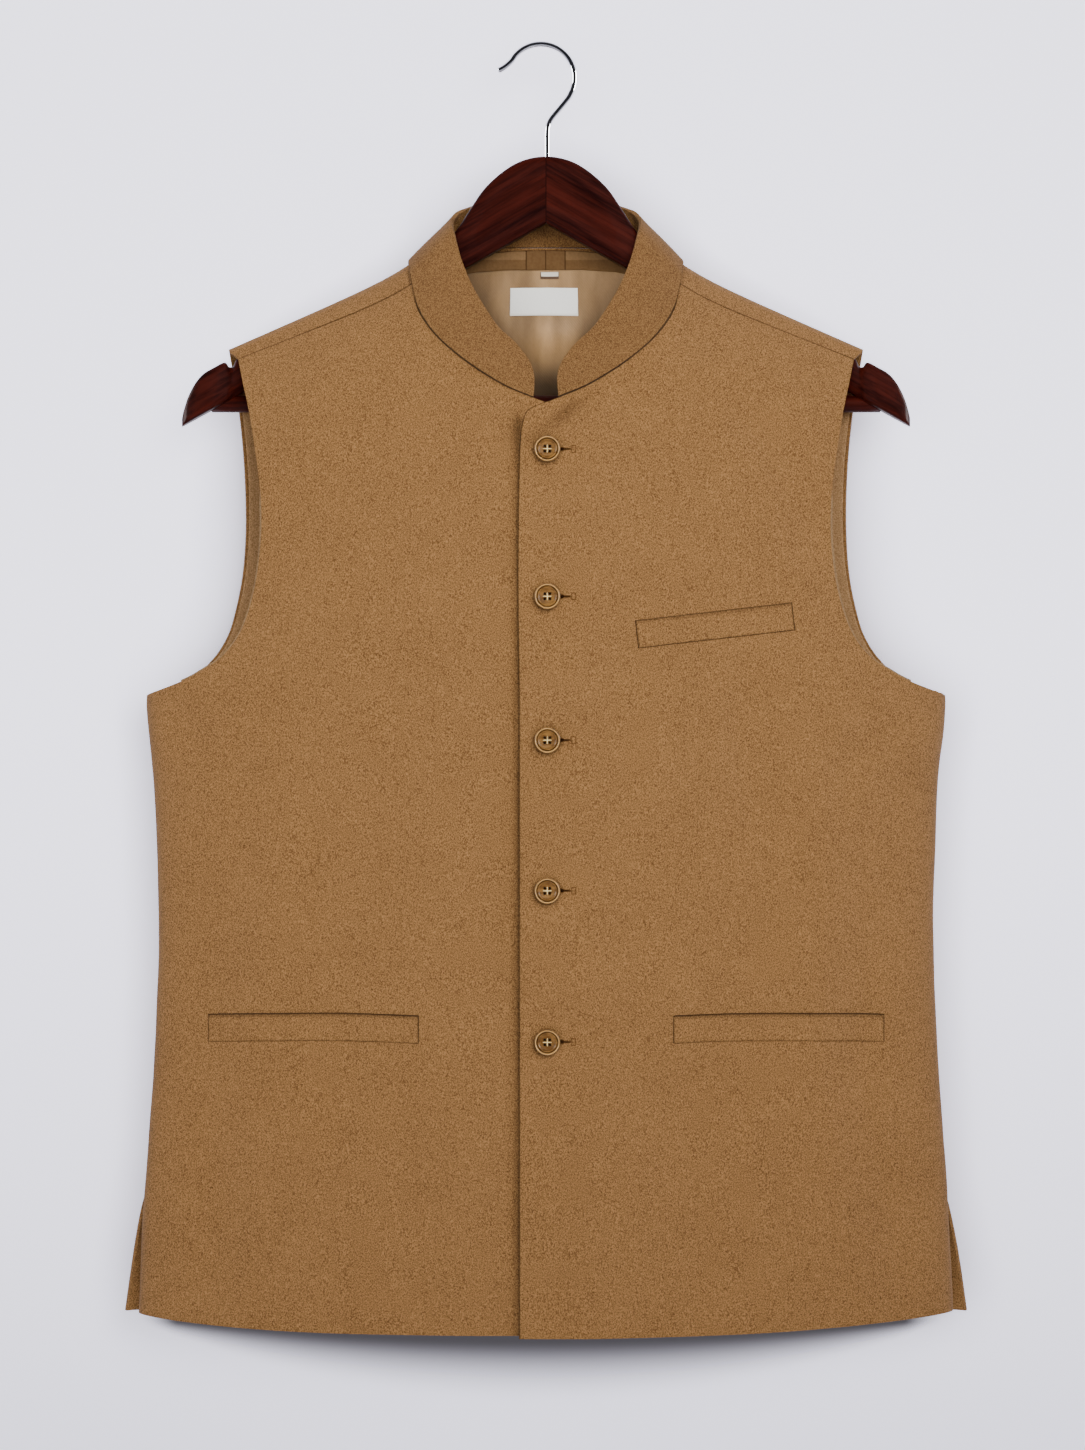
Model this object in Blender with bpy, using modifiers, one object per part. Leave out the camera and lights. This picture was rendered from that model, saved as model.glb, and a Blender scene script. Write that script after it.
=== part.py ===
"""A sleeveless nehru jacket in wool flannel, buttoned, on a contoured wooden hanger with a wire hook.

The front faces -Y, +X is the wearer's left and +Z is up. The origin is the seat of the hook, the inside
top of its crown, where a rail carries the hanger. Sizes are in millimetres and become metres in one place,
MM. The garment and hanger are modelled about the top of the hanger's crown and hang from one empty.
"""

import math
from collections import namedtuple

import bmesh
import bpy
import numpy as np

MM = 0.001

# Cloth, and the gap that neighbouring pieces keep.
CLOTH = 2.2
COLLAR_CLOTH = 2.6
LINING = 0.9
GAP = 0.35
SEAM_GAP = 0.5
COLLAR_GAP = 1.0

# The closed tube of the body: one row for each level, half width and the depths before and behind the seam.
Level = namedtuple("Level", "z half_width front_depth back_depth")
BODY = (
    Level(-50, 244, 34, 28.5),
    Level(-100, 242, 34, 31),
    Level(-130, 238, 35, 34),
    Level(-180, 220, 37, 36),
    Level(-250, 216, 39, 37),
    Level(-300, 232, 40, 36),
    Level(-343, 254.3, 40, 36),
    Level(-384, 250.5, 39, 35),
    Level(-435, 247.9, 38, 34),
    Level(-486, 246.6, 37, 33),
    Level(-537, 247.9, 36, 32),
    Level(-588, 250.5, 34, 31),
    Level(-663, 255.9, 33, 30),
    Level(-750, 259.8, 32, 29),
)
ROUNDNESS = 2.6
LEVEL_EASE = 16.0
UNDERARM_Z = -343.0
SEAM_PLANE = 0.95

# The side vents: the back flares behind the front below their tops.
VENT_TOP_Z = -663.0
VENT_BOTTOM_Z = -736.0
BACK_FLARE = 10.0
VENT_UNCURL = 0.014

# The hems: a front's height at the buttons, how far its corner rises, and how suddenly.
Hem = namedtuple("Hem", "centre rise power")
LEFT_HEM = Hem(-748.2, 13.8, 2.4)
RIGHT_HEM = Hem(-746.5, 10.6, 3.3)
HEM_HALF_WIDTH = 259.0
BACK_HEM_Z = -736.0

# The shoulder ridge, straight beyond the neck and steeper inside it, and the rounding of the cloth over it.
RIDGE_Z = -71.0
RIDGE_SLOPE = 0.45
NECK_HALF_WIDTH = 85.0
NECK_STEEPENING = 0.5
NECK_BLEND = 12.0
SHOULDER_DROP = 100.0
SHOULDER_ROUND = 0.7
SHOULDER_SWEEP = 8.0

# The wearer's left front laps over the right one and comes back to the body's surface beyond the buttons.
LAP_LIFT = 2.7
LAP_FLAT_X = 19.0
LAP_END_X = 60.0

# Inner edge of a front, from the underarm level up the lap, round its corner and along the neck.
FRONT_EDGE = (
    (-17.0, -343.0), (-17.6, -285.0), (-17.4, -230.0), (-16.0, -182.0), (-13.2, -166.5), (-5.0, -160.0),
    (6.0, -157.2), (27.0, -148.5), (49.0, -134.8), (68.0, -118.5), (80.0, -101.0), (84.9, -80.2),
)
# Armhole edge of a front and of the back, from the underarm up to the shoulder.
FRONT_ARMHOLE = (
    (254.3, -343.0), (232.0, -335.0), (219.0, -328.5), (203.5, -318.0), (191.5, -301.0), (183.5, -275.0),
    (179.8, -245.0), (179.8, -221.0), (181.8, -200.0), (186.5, -169.0), (191.5, -146.0), (195.0, -129.4),
)
BACK_ARMHOLE = (
    (254.3, -343.0), (229.0, -333.0), (214.5, -320.0), (206.0, -307.4), (201.0, -294.0), (195.5, -269.0),
    (193.0, -243.0), (192.7, -217.5), (193.8, -191.8), (196.0, -166.0), (198.6, -146.0), (199.8, -135.2),
)
# Inner edge of the back, up the centre to the neck seam and along it.
BACK_EDGE = (
    (0.0, -343.0), (0.0, -285.0), (0.0, -228.0), (0.0, -172.0), (0.0, -125.0), (0.0, -86.0),
    (0.0, -55.0), (24.0, -55.6), (46.0, -58.0), (67.0, -63.6),
)

# The back wraps over the ridge: how far below it each row lies, where it starts and ends, and on which side.
Wrap = namedtuple("Wrap", "drop_at_neck drop_at_tip neck_x tip_x front")
SHOULDER_ROWS = (
    Wrap(14.0, 14.0, 67.0, 199.8, False),
    Wrap(7.0, 7.0, 76.5, 200.8, False),
    Wrap(2.2, 2.2, 83.0, 201.4, False),
    Wrap(0.0, 0.0, 85.4, 201.6, False),
    Wrap(2.2, 2.2, 86.0, 200.6, True),
    Wrap(7.0, 5.6, 85.7, 198.0, True),
    Wrap(15.4, 9.6, 84.9, 195.0, True),
)

# Top edge of the collar, point by point above the neck seam from the front end to the centre back.
COLLAR_TOP = (
    (6.5, -32.5, -139.0), (19.0, -30.0, -122.5), (30.5, -27.5, -111.5), (41.0, -24.5, -95.5),
    (48.5, -19.5, -81.0), (54.0, -15.5, -65.5), (57.8, -11.5, -50.0), (58.8, -1.0, -41.6),
    (55.5, 8.0, -35.5), (49.0, 13.5, -31.0), (36.0, 18.5, -25.5), (19.0, 21.5, -21.5), (0.0, 22.5, -20.0),
)
COLLAR_BULGE = 0.5
COLLAR_CORNER = 0.45

# Pocket welts, as (x, z) of the middle of each end.
WELT_HEIGHT = 17.8
WELT_THICK = 1.8
POCKET_INNER = (80.0, -553.6)
POCKET_OUTER = (214.0, -553.4)
POCKET_BOW = 1.4
CHEST_INNER = (56.8, -305.1)
CHEST_OUTER = (155.8, -293.6)

# Buttons.
BUTTON_Z = (-188.8, -281.4, -371.5, -466.0, -561.1)
BUTTON_X = 0.8
BUTTON_RADIUS = 8.2
BUTTON_STEPS = 20
BUTTON_STAND = 0.7

# The facing, label and tab inside the back neck.
FACING_DROP = 13.0
FACING_HALF_WIDTH = 62.0
FACING_RISE = 0.04
LABEL_CENTRE = (-1.3, -89.1)
LABEL_SIZE = (44.6, 17.9)
TAB_CENTRE = (2.4, -72.2)
TAB_SIZE = (12.7, 4.4)
PATCH_THICK = 0.7
ROOM_FOR_FACETS = 0.7

# The column of a front at which its lining starts.
LINING_FRONT_FIRST = 2

# The hanger: one row for each section along an arm, its top, half thickness and forward sweep.
Arm = namedtuple("Arm", "x top half_thickness sweep")
ARM = (
    Arm(0, 0, 6.5, 0), Arm(11, -1.4, 6.5, 0), Arm(20.6, -5.2, 6.5, 0), Arm(30.4, -12, 6.5, 0),
    Arm(40, -21.5, 6.5, 0), Arm(48.8, -34.5, 6.4, 0), Arm(54.6, -43.5, 6.2, 0), Arm(62, -52.8, 6.2, 0),
    Arm(72, -61.8, 6.2, 0), Arm(85, -72.4, 6.4, 0.3), Arm(110, -87, 6.6, 1.0), Arm(146, -104, 6.8, 3.0),
    Arm(176, -118.4, 6.6, 5.4), Arm(194.5, -127.2, 6.4, 7.0), Arm(198.6, -133.8, 6.6, 7.2),
    Arm(201.4, -134.6, 7.2, 7.6), Arm(204, -131.9, 7.6, 7.7), Arm(211, -135.4, 8.2, 8.0),
    Arm(217.3, -139.2, 8.2, 8.2), Arm(222.6, -145.4, 7.6, 8.4), Arm(227, -153.8, 6.2, 8.6),
    Arm(229.6, -161.5, 4.6, 8.7), Arm(231, -167, 2.8, 8.8),
)
HANGER_V_Z = -42.7
HANGER_LOWER_SLOPE = 0.562
ARM_SQUARENESS = 2.3
ARM_SIDES = 12
BAR_RADIUS = 5.5
BAR_HALF_LENGTH = 207.5
BAR_Z = -157.7
BAR_Y = -4.6

# The hook: a crown of one radius about its centre, a flicked tip and a throat down to the stem.
WIRE_RADIUS = 1.87
HOOK_CENTRE = (-3.3, 50.5)
HOOK_RADIUS = 21.5
CROWN_START = math.radians(150)
CROWN_END = math.radians(-20)
HOOK_TIP = ((-30.9, 54.9), (-28.2, 56.2), (-25.2, 58.2))
HOOK_THROAT = (
    (16.1, 41.2), (14.2, 37.6), (11.2, 33.8), (8.0, 29.9), (4.8, 26.1), (2.4, 22.6), (1.1, 18.6), (0.7, 14.0),
)
STEM_X = 0.7
STEM_DEPTH = 14.0
HOOK_SEAT = (HOOK_CENTRE[0], HOOK_CENTRE[1] + HOOK_RADIUS - WIRE_RADIUS)

# Colour in linear light, roughness and metallic value of each material.
Finish = namedtuple("Finish", "colour roughness metallic")
FLANNEL = Finish((0.33, 0.175, 0.071), 0.9, 0.0)
FACING_FLANNEL = Finish((0.21, 0.1, 0.036), 0.9, 0.0)
SATIN = Finish((0.31, 0.2, 0.1), 0.4, 0.0)
HORN = Finish((0.3, 0.16, 0.07), 0.35, 0.0)
RIBBON = Finish((0.75, 0.73, 0.68), 0.6, 0.0)
MAHOGANY = Finish((0.05, 0.008, 0.006), 0.2, 0.0)
CHROME = Finish((0.75, 0.75, 0.76), 0.12, 1.0)


# ---------------------------------------------------------------- the garment's surface

def level(name, z):
    """A column of BODY at height z, straight between its rows but for their corners, which are eased."""
    rows = sorted(BODY)
    heights = [row.z for row in rows]
    values = [getattr(row, name) for row in rows]
    low, middle, high = (np.interp(z + side * LEVEL_EASE, heights, values) for side in (-1, 0, 1))
    return (low + 2 * middle + high) / 4


def ridge(x):
    """Height of the shoulder ridge over x: a straight slope, plus a smooth steepening inside the neck."""
    across = np.abs(x)
    inward = np.logaddexp(0.0, (NECK_HALF_WIDTH - across) / NECK_BLEND) * NECK_BLEND
    return RIDGE_Z - RIDGE_SLOPE * (across - NECK_HALF_WIDTH) + NECK_STEEPENING * inward


def shoulder(x, z):
    """1 well below the ridge, falling to 0 on it as 1 - (1 - d/D)^2 to the power SHOULDER_ROUND."""
    near = np.clip(1 - (ridge(x) - z) / SHOULDER_DROP, 0, 1)
    return (1 - near**2) ** SHOULDER_ROUND


def across_body(x, half_width):
    """The superellipse's depth over x, from 1 in the middle to 0 at the half width."""
    share = np.clip(np.abs(x) / half_width, 0, 1)
    return (1 - share**ROUNDNESS) ** (1 / ROUNDNESS)


def sweep(x, z):
    """The hanger's arms push the shoulders forward towards their tips."""
    out = np.clip((np.abs(x) - 60) / 140, 0, 1)
    down = np.clip((z + 300) / 150, 0, 1)
    return -SHOULDER_SWEEP * out**2 * down


def vent(z):
    """0 above the vents' tops and 1 at the back hem."""
    return np.clip((VENT_TOP_Z - z) / (VENT_TOP_Z - VENT_BOTTOM_Z), 0, 1)


def front_y(x, z):
    depth = level("front_depth", z) * across_body(x, level("half_width", z))
    return sweep(x, z) - depth * shoulder(x, z) - SEAM_PLANE


def back_width(z):
    """The back's half width: the body's, and below the vents' tops a flare that eases off to the hem."""
    return level("half_width", z) + BACK_FLARE * vent(z) ** 0.75


def back_y(x, z):
    reach = back_width(z) * (1 + VENT_UNCURL * vent(z))
    return sweep(x, z) + level("back_depth", z) * across_body(x, reach) * shoulder(x, z) + SEAM_PLANE


def lap(x):
    """How far the over front stands off the body's surface: LAP_LIFT at its edge, easing to 0."""
    share = np.clip((x - LAP_FLAT_X) / (LAP_END_X - LAP_FLAT_X), 0, 1)
    return LAP_LIFT * (1 - share * share * (3 - 2 * share))


def over_front_y(x, z):
    return front_y(x, z) - lap(x)


def columns(count):
    """Shares from 0 at the inner edge to 1 at the side, closer together where the body turns."""
    return 1 - (1 - np.linspace(0, 1, count)) ** 1.7


# ---------------------------------------------------------------- grids and meshes

def resampled(points, count):
    """count points at even distances along a line through points."""
    points = np.asarray(points, float)
    run = np.concatenate([[0], np.cumsum(np.linalg.norm(np.diff(points, axis=0), axis=1))])
    places = np.linspace(0, run[-1], count)
    return np.stack([np.interp(places, run, part) for part in points.T], axis=1)


def between_edges(inner, outer, bottom, top):
    """A Coons patch: rows run from the inner to the outer edge, columns from the bottom to the top one."""
    v = np.linspace(0, 1, len(inner))[:, None, None]
    u = np.linspace(0, 1, len(bottom))[None, :, None]
    across = (1 - u) * inner[:, None] + u * outer[:, None]
    along = (1 - v) * bottom[None] + v * top[None]
    corners = (1 - v) * ((1 - u) * bottom[0] + u * bottom[-1]) + v * ((1 - u) * top[0] + u * top[-1])
    return across + along - corners


def upper_panel(edge, armhole, shares, top):
    """(x, z) of a panel from the underarm up, with one row for each point of its inner edge."""
    inner = np.array(edge, float)
    outer = resampled(armhole, len(inner))
    bottom = inner[0] + shares[:, None] * (outer[0] - inner[0])
    return between_edges(inner, outer, bottom, top)


def normals_of(grid):
    """Unit normals of a grid of points, from the steps along its rows and columns."""
    cross = np.cross(np.gradient(grid, axis=1), np.gradient(grid, axis=0))
    return cross / np.linalg.norm(cross, axis=2, keepdims=True)


def moved(grid, distance):
    """The grid moved along its normals."""
    return grid + distance * normals_of(grid)


def on_surface(xz, surface):
    return np.dstack([xz[..., 0], surface(xz[..., 0], xz[..., 1]), xz[..., 1]])


def material(name, finish):
    made = bpy.data.materials.new(name)
    made.use_nodes = True
    shader = made.node_tree.nodes["Principled BSDF"]
    shader.inputs["Base Color"].default_value = (*finish.colour, 1.0)
    shader.inputs["Roughness"].default_value = finish.roughness
    shader.inputs["Metallic"].default_value = finish.metallic
    made.diffuse_color = (*finish.colour, 1.0)
    return made


def add(name, mesh, finish, parts, hanging):
    """A new named object of the part, hung from the empty and shaded smooth but for its sharp edges."""
    obj = bpy.data.objects.new(name, mesh)
    mesh.materials.append(material(name, finish))
    mesh.shade_smooth()
    mesh.set_sharp_from_angle(angle=math.radians(50))
    parts.objects.link(obj)
    obj.parent = hanging
    return obj


def grid_mesh(name, grid):
    """One open surface through a grid of points in millimetres, facing along normals_of the grid."""
    shape = bmesh.new()
    rows = [[shape.verts.new(point * MM) for point in row] for row in grid]
    for low, high in zip(rows, rows[1:]):
        for a, b, c, d in zip(low, low[1:], high[1:], high):
            shape.faces.new((a, b, c, d))
    mesh = bpy.data.meshes.new(name)
    shape.to_mesh(mesh)
    shape.free()
    return mesh


def thicken(obj, thickness, depth=0.0):
    """Gives a surface a wall of this thickness, starting at a depth behind it."""
    wall = obj.modifiers.new("wall", "SOLIDIFY")
    wall.thickness = thickness * MM
    wall.offset = -1.0 - 2.0 * depth / thickness
    return obj


def mirror(obj):
    half = obj.modifiers.new("halves", "MIRROR")
    half.merge_threshold = 0.00005
    return obj


# ---------------------------------------------------------------- fronts and back

BODY_ROWS = 11
FRONT_COLUMNS = columns(13)
BACK_COLUMNS = columns(11)


def wrap_row(row, shares):
    """(x, z) along one row over the shoulder, and the surface it lies on."""
    x = row.neck_x + (row.tip_x - row.neck_x) * shares
    z = ridge(x) - (row.drop_at_neck + (row.drop_at_tip - row.drop_at_neck) * shares)
    return np.stack([x, z], axis=1), front_y if row.front else back_y


def front_outline(surface, hem):
    """Points of a front on the wearer's left: from the hem to the underarm, then up to the shoulder seam."""
    shares = FRONT_COLUMNS
    seam, _ = wrap_row(SHOULDER_ROWS[-1], shares)
    seam[:, 1] -= SEAM_GAP
    edge = np.array(FRONT_EDGE)
    armhole = np.array(FRONT_ARMHOLE)
    edge[-1] = seam[0]
    armhole[-1] = seam[-1]
    upper = upper_panel(edge, armhole, shares, seam)
    up = np.linspace(0, 1, BODY_ROWS + 1)[:-1, None]
    x = edge[0, 0] + (HEM_HALF_WIDTH - edge[0, 0]) * shares
    bottom = hem.centre + hem.rise * np.abs(x / HEM_HALF_WIDTH) ** hem.power
    z = bottom + (UNDERARM_Z - bottom) * up
    lower = np.dstack([edge[0, 0] + (level("half_width", z) - edge[0, 0]) * shares, z])
    return on_surface(np.concatenate([lower, upper]), surface)


def on_side(grid, side):
    """The grid as it is, or its mirror image for the other side."""
    return grid if side > 0 else grid[:, ::-1] * (-1, 1, 1)


def front_left(parts, hanging):
    grid = front_outline(over_front_y, LEFT_HEM)[::-1, ::-1]
    thicken(add("front_left", grid_mesh("front_left", grid), FLANNEL, parts, hanging), CLOTH)


def front_right(parts, hanging):
    grid = on_side(front_outline(front_y, RIGHT_HEM), -1)
    thicken(add("front_right", grid_mesh("front_right", grid), FLANNEL, parts, hanging), CLOTH)


def back_half():
    """Half the back, from its side to its centre and from the hem over the ridge to the forward seam."""
    shares = BACK_COLUMNS
    wraps = [wrap_row(row, shares) for row in SHOULDER_ROWS]
    edge = np.array(BACK_EDGE)
    armhole = np.array(BACK_ARMHOLE)
    edge[-1] = wraps[0][0][0]
    armhole[-1] = wraps[0][0][-1]
    upper = on_surface(upper_panel(edge, armhole, shares, wraps[0][0]), back_y)
    z = np.linspace(BACK_HEM_Z, UNDERARM_Z, BODY_ROWS + 1)[:-1, None] + 0 * shares
    lower = on_surface(np.dstack([back_width(z) * shares, z]), back_y)
    over = [on_surface(xz[None], surface) for xz, surface in wraps[1:]]
    return np.concatenate([lower, upper, *over])[:, ::-1]


def back(parts, hanging):
    thicken(mirror(add("back", grid_mesh("back", back_half()), FLANNEL, parts, hanging)), CLOTH)


# ---------------------------------------------------------------- collar

def neck_seam(surface):
    """Points of the neck seam on one side, from the collar's front end to the centre back."""
    front = np.array([(8.0, -156.6), *FRONT_EDGE[7:11]])
    wraps = [wrap_row(row, np.zeros(1)) for row in SHOULDER_ROWS]
    tail = [on_surface(xz[None], side)[0] for xz, side in wraps]
    seam, ridge_point = tail[-1], tail[3]
    before, behind = tail[5], tail[1]
    back_points = np.array(BACK_EDGE[:-1])[:-4:-1]
    front_part = on_surface(front[None], surface)[0]
    back_part = on_surface(back_points[None], back_y)[0]
    return np.concatenate([front_part, seam, before, ridge_point, behind, tail[0], back_part])


def collar(parts, hanging):
    """A band from the neck seam to its top edge, its front ends cut back to a round corner."""
    rise = np.linspace(0, 1, 6)
    halves = []
    for surface in (over_front_y, front_y):
        low = neck_seam(surface)
        high = np.array(COLLAR_TOP)
        step = (high - low) / np.linalg.norm(high - low, axis=1, keepdims=True)
        low = low + COLLAR_GAP * step
        band = low + rise[:, None, None] * (high - low)
        out = normals_of(band)
        band += (4 * rise * (1 - rise))[:, None, None] * COLLAR_BULGE * out
        corner = COLLAR_CORNER * (1 - np.sqrt(1 - rise**4))
        band[:, 0] += corner[:, None] * (band[:, 1] - band[:, 0])
        halves.append(band)
    left, right = halves
    ring = np.concatenate([right[:, :-1] * (-1, 1, 1), left[:, ::-1]], axis=1)
    thicken(add("collar", grid_mesh("collar", ring), FLANNEL, parts, hanging), COLLAR_CLOTH)


# ---------------------------------------------------------------- lining, facing, label and tab

LAYER = CLOTH + GAP + ROOM_FOR_FACETS
ON_LINING = LAYER + LINING + 2 * GAP


def neck_line(x):
    """Height of the back's neck seam over x."""
    return np.interp(np.abs(x), *np.array(BACK_EDGE[6:]).T)


def neck_facing(parts, hanging):
    """A strip just under the back's neck seam, against the inside of the cloth."""
    x = FACING_HALF_WIDTH * np.linspace(1, -1, 13)
    top = neck_line(x) - 1.0
    bottom = top - FACING_DROP + FACING_RISE * np.abs(x)
    rows = [np.stack([x, z], axis=1) for z in (bottom, (bottom + top) / 2, top)]
    mesh = grid_mesh("neck_facing", on_surface(np.stack(rows), back_y))
    thicken(add("neck_facing", mesh, FACING_FLANNEL, parts, hanging), LINING, ON_LINING)


def linings(parts, hanging):
    """Linings against the inside of the back and the fronts, each made from some of its panel's points."""
    half = back_half()[1 : -len(SHOULDER_ROWS), 2:]
    thicken(mirror(add("lining_back", grid_mesh("lining_back", half), SATIN, parts, hanging)), LINING, LAYER)
    left = front_outline(over_front_y, LEFT_HEM)
    right = front_outline(front_y, RIGHT_HEM)
    for name, panel, side in (("lining_front_left", left, 1), ("lining_front_right", right, -1)):
        grid = on_side(panel[1:-1, LINING_FRONT_FIRST:-1], side)
        thicken(add(name, grid_mesh(name, grid), SATIN, parts, hanging), LINING, LAYER)


def patch(name, centre, size, finish, parts, hanging):
    """A small flat piece that lies on the back's lining."""
    x = centre[0] + size[0] * np.linspace(0.5, -0.5, 5)
    z = centre[1] + size[1] * np.linspace(-0.5, 0.5, 3)
    grid = on_surface(np.dstack(np.meshgrid(x, z)), back_y)
    thicken(add(name, grid_mesh(name, grid), finish, parts, hanging), PATCH_THICK, ON_LINING)


# ---------------------------------------------------------------- pocket welts and buttons

def welt(name, inner, outer, side, surface, bow, parts, hanging):
    """A strip of double cloth on a front, between the middles of its ends, bowed up a little."""
    inner = np.array(inner)
    outer = np.array(outer)
    share = np.linspace(0, 1, 9)[None, :, None]
    height = WELT_HEIGHT * np.linspace(-0.5, 0.5, 3)[:, None, None]
    along = outer - inner
    across = np.array([-along[1], along[0]]) / np.linalg.norm(along)
    xz = inner + along * share + across * height
    xz[..., 1] += bow * (4 * share * (1 - share))[..., 0]
    grid = on_side(moved(on_surface(xz, surface), GAP + WELT_THICK), side)
    thicken(add(name, grid_mesh(name, grid), FLANNEL, parts, hanging), WELT_THICK)


def button(number, z, parts, hanging):
    """A turned button: a flat back, a rounded rim, a groove and a shallow dish."""
    profile = (
        (0.0, 1.9), (3.4, 1.9), (4.4, 2.5), (5.6, 2.5), (6.2, 3.1), (7.3, 3.3), (BUTTON_RADIUS, 2.2),
        (BUTTON_RADIUS - 0.6, 0.9), (5.0, 0.0), (0.0, 0.0),
    )
    name = f"button_{number}"
    mesh = bpy.data.meshes.new(name)
    points = [(radius * MM, 0, height * MM) for radius, height in profile]
    mesh.from_pydata(points, [(i, i + 1) for i in range(len(points) - 1)], [])
    obj = add(name, mesh, HORN, parts, hanging)
    turn = obj.modifiers.new("turn", "SCREW")
    turn.steps = turn.render_steps = BUTTON_STEPS
    turn.use_merge_vertices = True
    turn.merge_threshold = 0.00005
    step = 4.0
    low, high = (over_front_y(BUTTON_X, z + side) for side in (-step, step))
    lean = math.atan2(high - low, 2 * step)
    obj.rotation_euler = (math.pi / 2 - lean, 0, 0)
    obj.location = (BUTTON_X * MM, (over_front_y(BUTTON_X, z) - BUTTON_STAND) * MM, z * MM)


# ---------------------------------------------------------------- hanger

def arm_column(name, x):
    """A column of ARM over x, the same on both sides."""
    return np.interp(np.abs(x), [row.x for row in ARM], [getattr(row, name) for row in ARM])


def hanger_mesh():
    """A loft of squarish sections along both arms, closed at the tips."""
    arms = np.array([row.x for row in ARM], float)
    stations = np.concatenate([-arms[:0:-1], arms])
    turn = np.arange(ARM_SIDES) * math.tau / ARM_SIDES + math.pi / ARM_SIDES
    flat = 2 / ARM_SQUARENESS
    side = np.sign(np.cos(turn)) * np.abs(np.cos(turn)) ** flat
    rise = np.sign(np.sin(turn)) * np.abs(np.sin(turn)) ** flat
    side = side / side.max()
    rise = rise / rise.max()
    shape = bmesh.new()
    rings = []
    for x in stations:
        top = arm_column("top", x)
        bottom = HANGER_V_Z - HANGER_LOWER_SLOPE * abs(x)
        y = side * arm_column("half_thickness", x) - arm_column("sweep", x)
        z = (top + bottom) / 2 + rise * (top - bottom) / 2
        rings.append([shape.verts.new((x * MM, a * MM, b * MM)) for a, b in zip(y, z)])
    for near, far in zip(rings, rings[1:]):
        for i in range(ARM_SIDES):
            j = (i + 1) % ARM_SIDES
            shape.faces.new((near[i], near[j], far[j], far[i]))
    shape.faces.new(rings[0][::-1])
    shape.faces.new(rings[-1])
    bmesh.ops.recalc_face_normals(shape, faces=shape.faces)
    mesh = bpy.data.meshes.new("hanger_body")
    shape.to_mesh(mesh)
    shape.free()
    return mesh


def rod(name, radius, length, centre, along, sides=16):
    """A closed cylinder about centre, its axis turned from Z towards the given axis."""
    bpy.ops.mesh.primitive_cylinder_add(vertices=sides, radius=radius * MM, depth=length * MM)
    made = bpy.context.object
    made.name = name
    made.data.name = name
    if along == "X":
        made.rotation_euler = (0, math.pi / 2, 0)
    made.location = [value * MM for value in centre]
    for collection in made.users_collection:
        collection.objects.unlink(made)
    return made


def bore(obj, cutter, cutters, hanging):
    """Cuts a hidden cylinder out of an object."""
    cutters.objects.link(cutter)
    cutter.parent = hanging
    cutter.hide_render = True
    cutter.display_type = "WIRE"
    cut = obj.modifiers.new(cutter.name, "BOOLEAN")
    cut.object = cutter
    cut.operation = "DIFFERENCE"


def hanger(parts, cutters, hanging):
    """The wooden arms, bored for the bar's ends and for the hook's stem, and the bar itself."""
    arms = add("hanger_body", hanger_mesh(), MAHOGANY, parts, hanging)
    bar_cut = 2 * (BAR_HALF_LENGTH + GAP)
    bar_place = (0, BAR_Y, BAR_Z)
    stem_cut = 2 * (STEM_DEPTH + GAP)
    bore(arms, rod("bar_bore", BAR_RADIUS + GAP, bar_cut, bar_place, "X"), cutters, hanging)
    bore(arms, rod("stem_bore", WIRE_RADIUS + GAP, stem_cut, (STEM_X, 0, 0), "Z"), cutters, hanging)
    bar = rod("trouser_bar", BAR_RADIUS, 2 * BAR_HALF_LENGTH, bar_place, "X")
    bar.data.materials.append(material("trouser_bar", MAHOGANY))
    bar.data.shade_smooth()
    bar.data.set_sharp_from_angle(angle=math.radians(50))
    parts.objects.link(bar)
    bar.parent = hanging


def hook(parts, hanging):
    """Bent wire: the flicked tip, the crown's arc over the seat, the throat and the stem into the wood."""
    turn = np.linspace(CROWN_START, CROWN_END, 15)
    crown = np.stack([np.cos(turn), np.sin(turn)], axis=1) * HOOK_RADIUS + HOOK_CENTRE
    line = [*HOOK_TIP, *crown, *HOOK_THROAT, (STEM_X, -STEM_DEPTH)]
    wire = bpy.data.curves.new("hook", "CURVE")
    wire.dimensions = "3D"
    wire.bevel_depth = WIRE_RADIUS * MM
    wire.bevel_resolution = 2
    wire.use_fill_caps = True
    spline = wire.splines.new("POLY")
    spline.points.add(len(line) - 1)
    for point, (x, z) in zip(spline.points, line):
        point.co = (x * MM, 0, z * MM, 1)
    obj = bpy.data.objects.new("hook", wire)
    wire.materials.append(material("hook", CHROME))
    parts.objects.link(obj)
    obj.parent = hanging


# ---------------------------------------------------------------- the whole part

def main():
    for obj in list(bpy.data.objects):
        bpy.data.objects.remove(obj)
    parts = bpy.data.collections.new("nehru_jacket")
    cutters = bpy.data.collections.new("cutters")
    bpy.context.scene.collection.children.link(parts)
    bpy.context.scene.collection.children.link(cutters)
    hanging = bpy.data.objects.new("crown_top", None)
    hanging.location = (-HOOK_SEAT[0] * MM, 0, -HOOK_SEAT[1] * MM)
    parts.objects.link(hanging)

    front_left(parts, hanging)
    front_right(parts, hanging)
    back(parts, hanging)
    collar(parts, hanging)
    neck_facing(parts, hanging)
    linings(parts, hanging)
    patch("neck_label", LABEL_CENTRE, LABEL_SIZE, RIBBON, parts, hanging)
    patch("size_tab", TAB_CENTRE, TAB_SIZE, RIBBON, parts, hanging)
    welt("chest_welt", CHEST_INNER, CHEST_OUTER, 1, over_front_y, 0.0, parts, hanging)
    welt("pocket_welt_left", POCKET_INNER, POCKET_OUTER, 1, front_y, POCKET_BOW, parts, hanging)
    welt("pocket_welt_right", POCKET_INNER, POCKET_OUTER, -1, front_y, POCKET_BOW, parts, hanging)
    for number, z in enumerate(BUTTON_Z, 1):
        button(number, z, parts, hanging)
    hanger(parts, cutters, hanging)
    hook(parts, hanging)


main()
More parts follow.
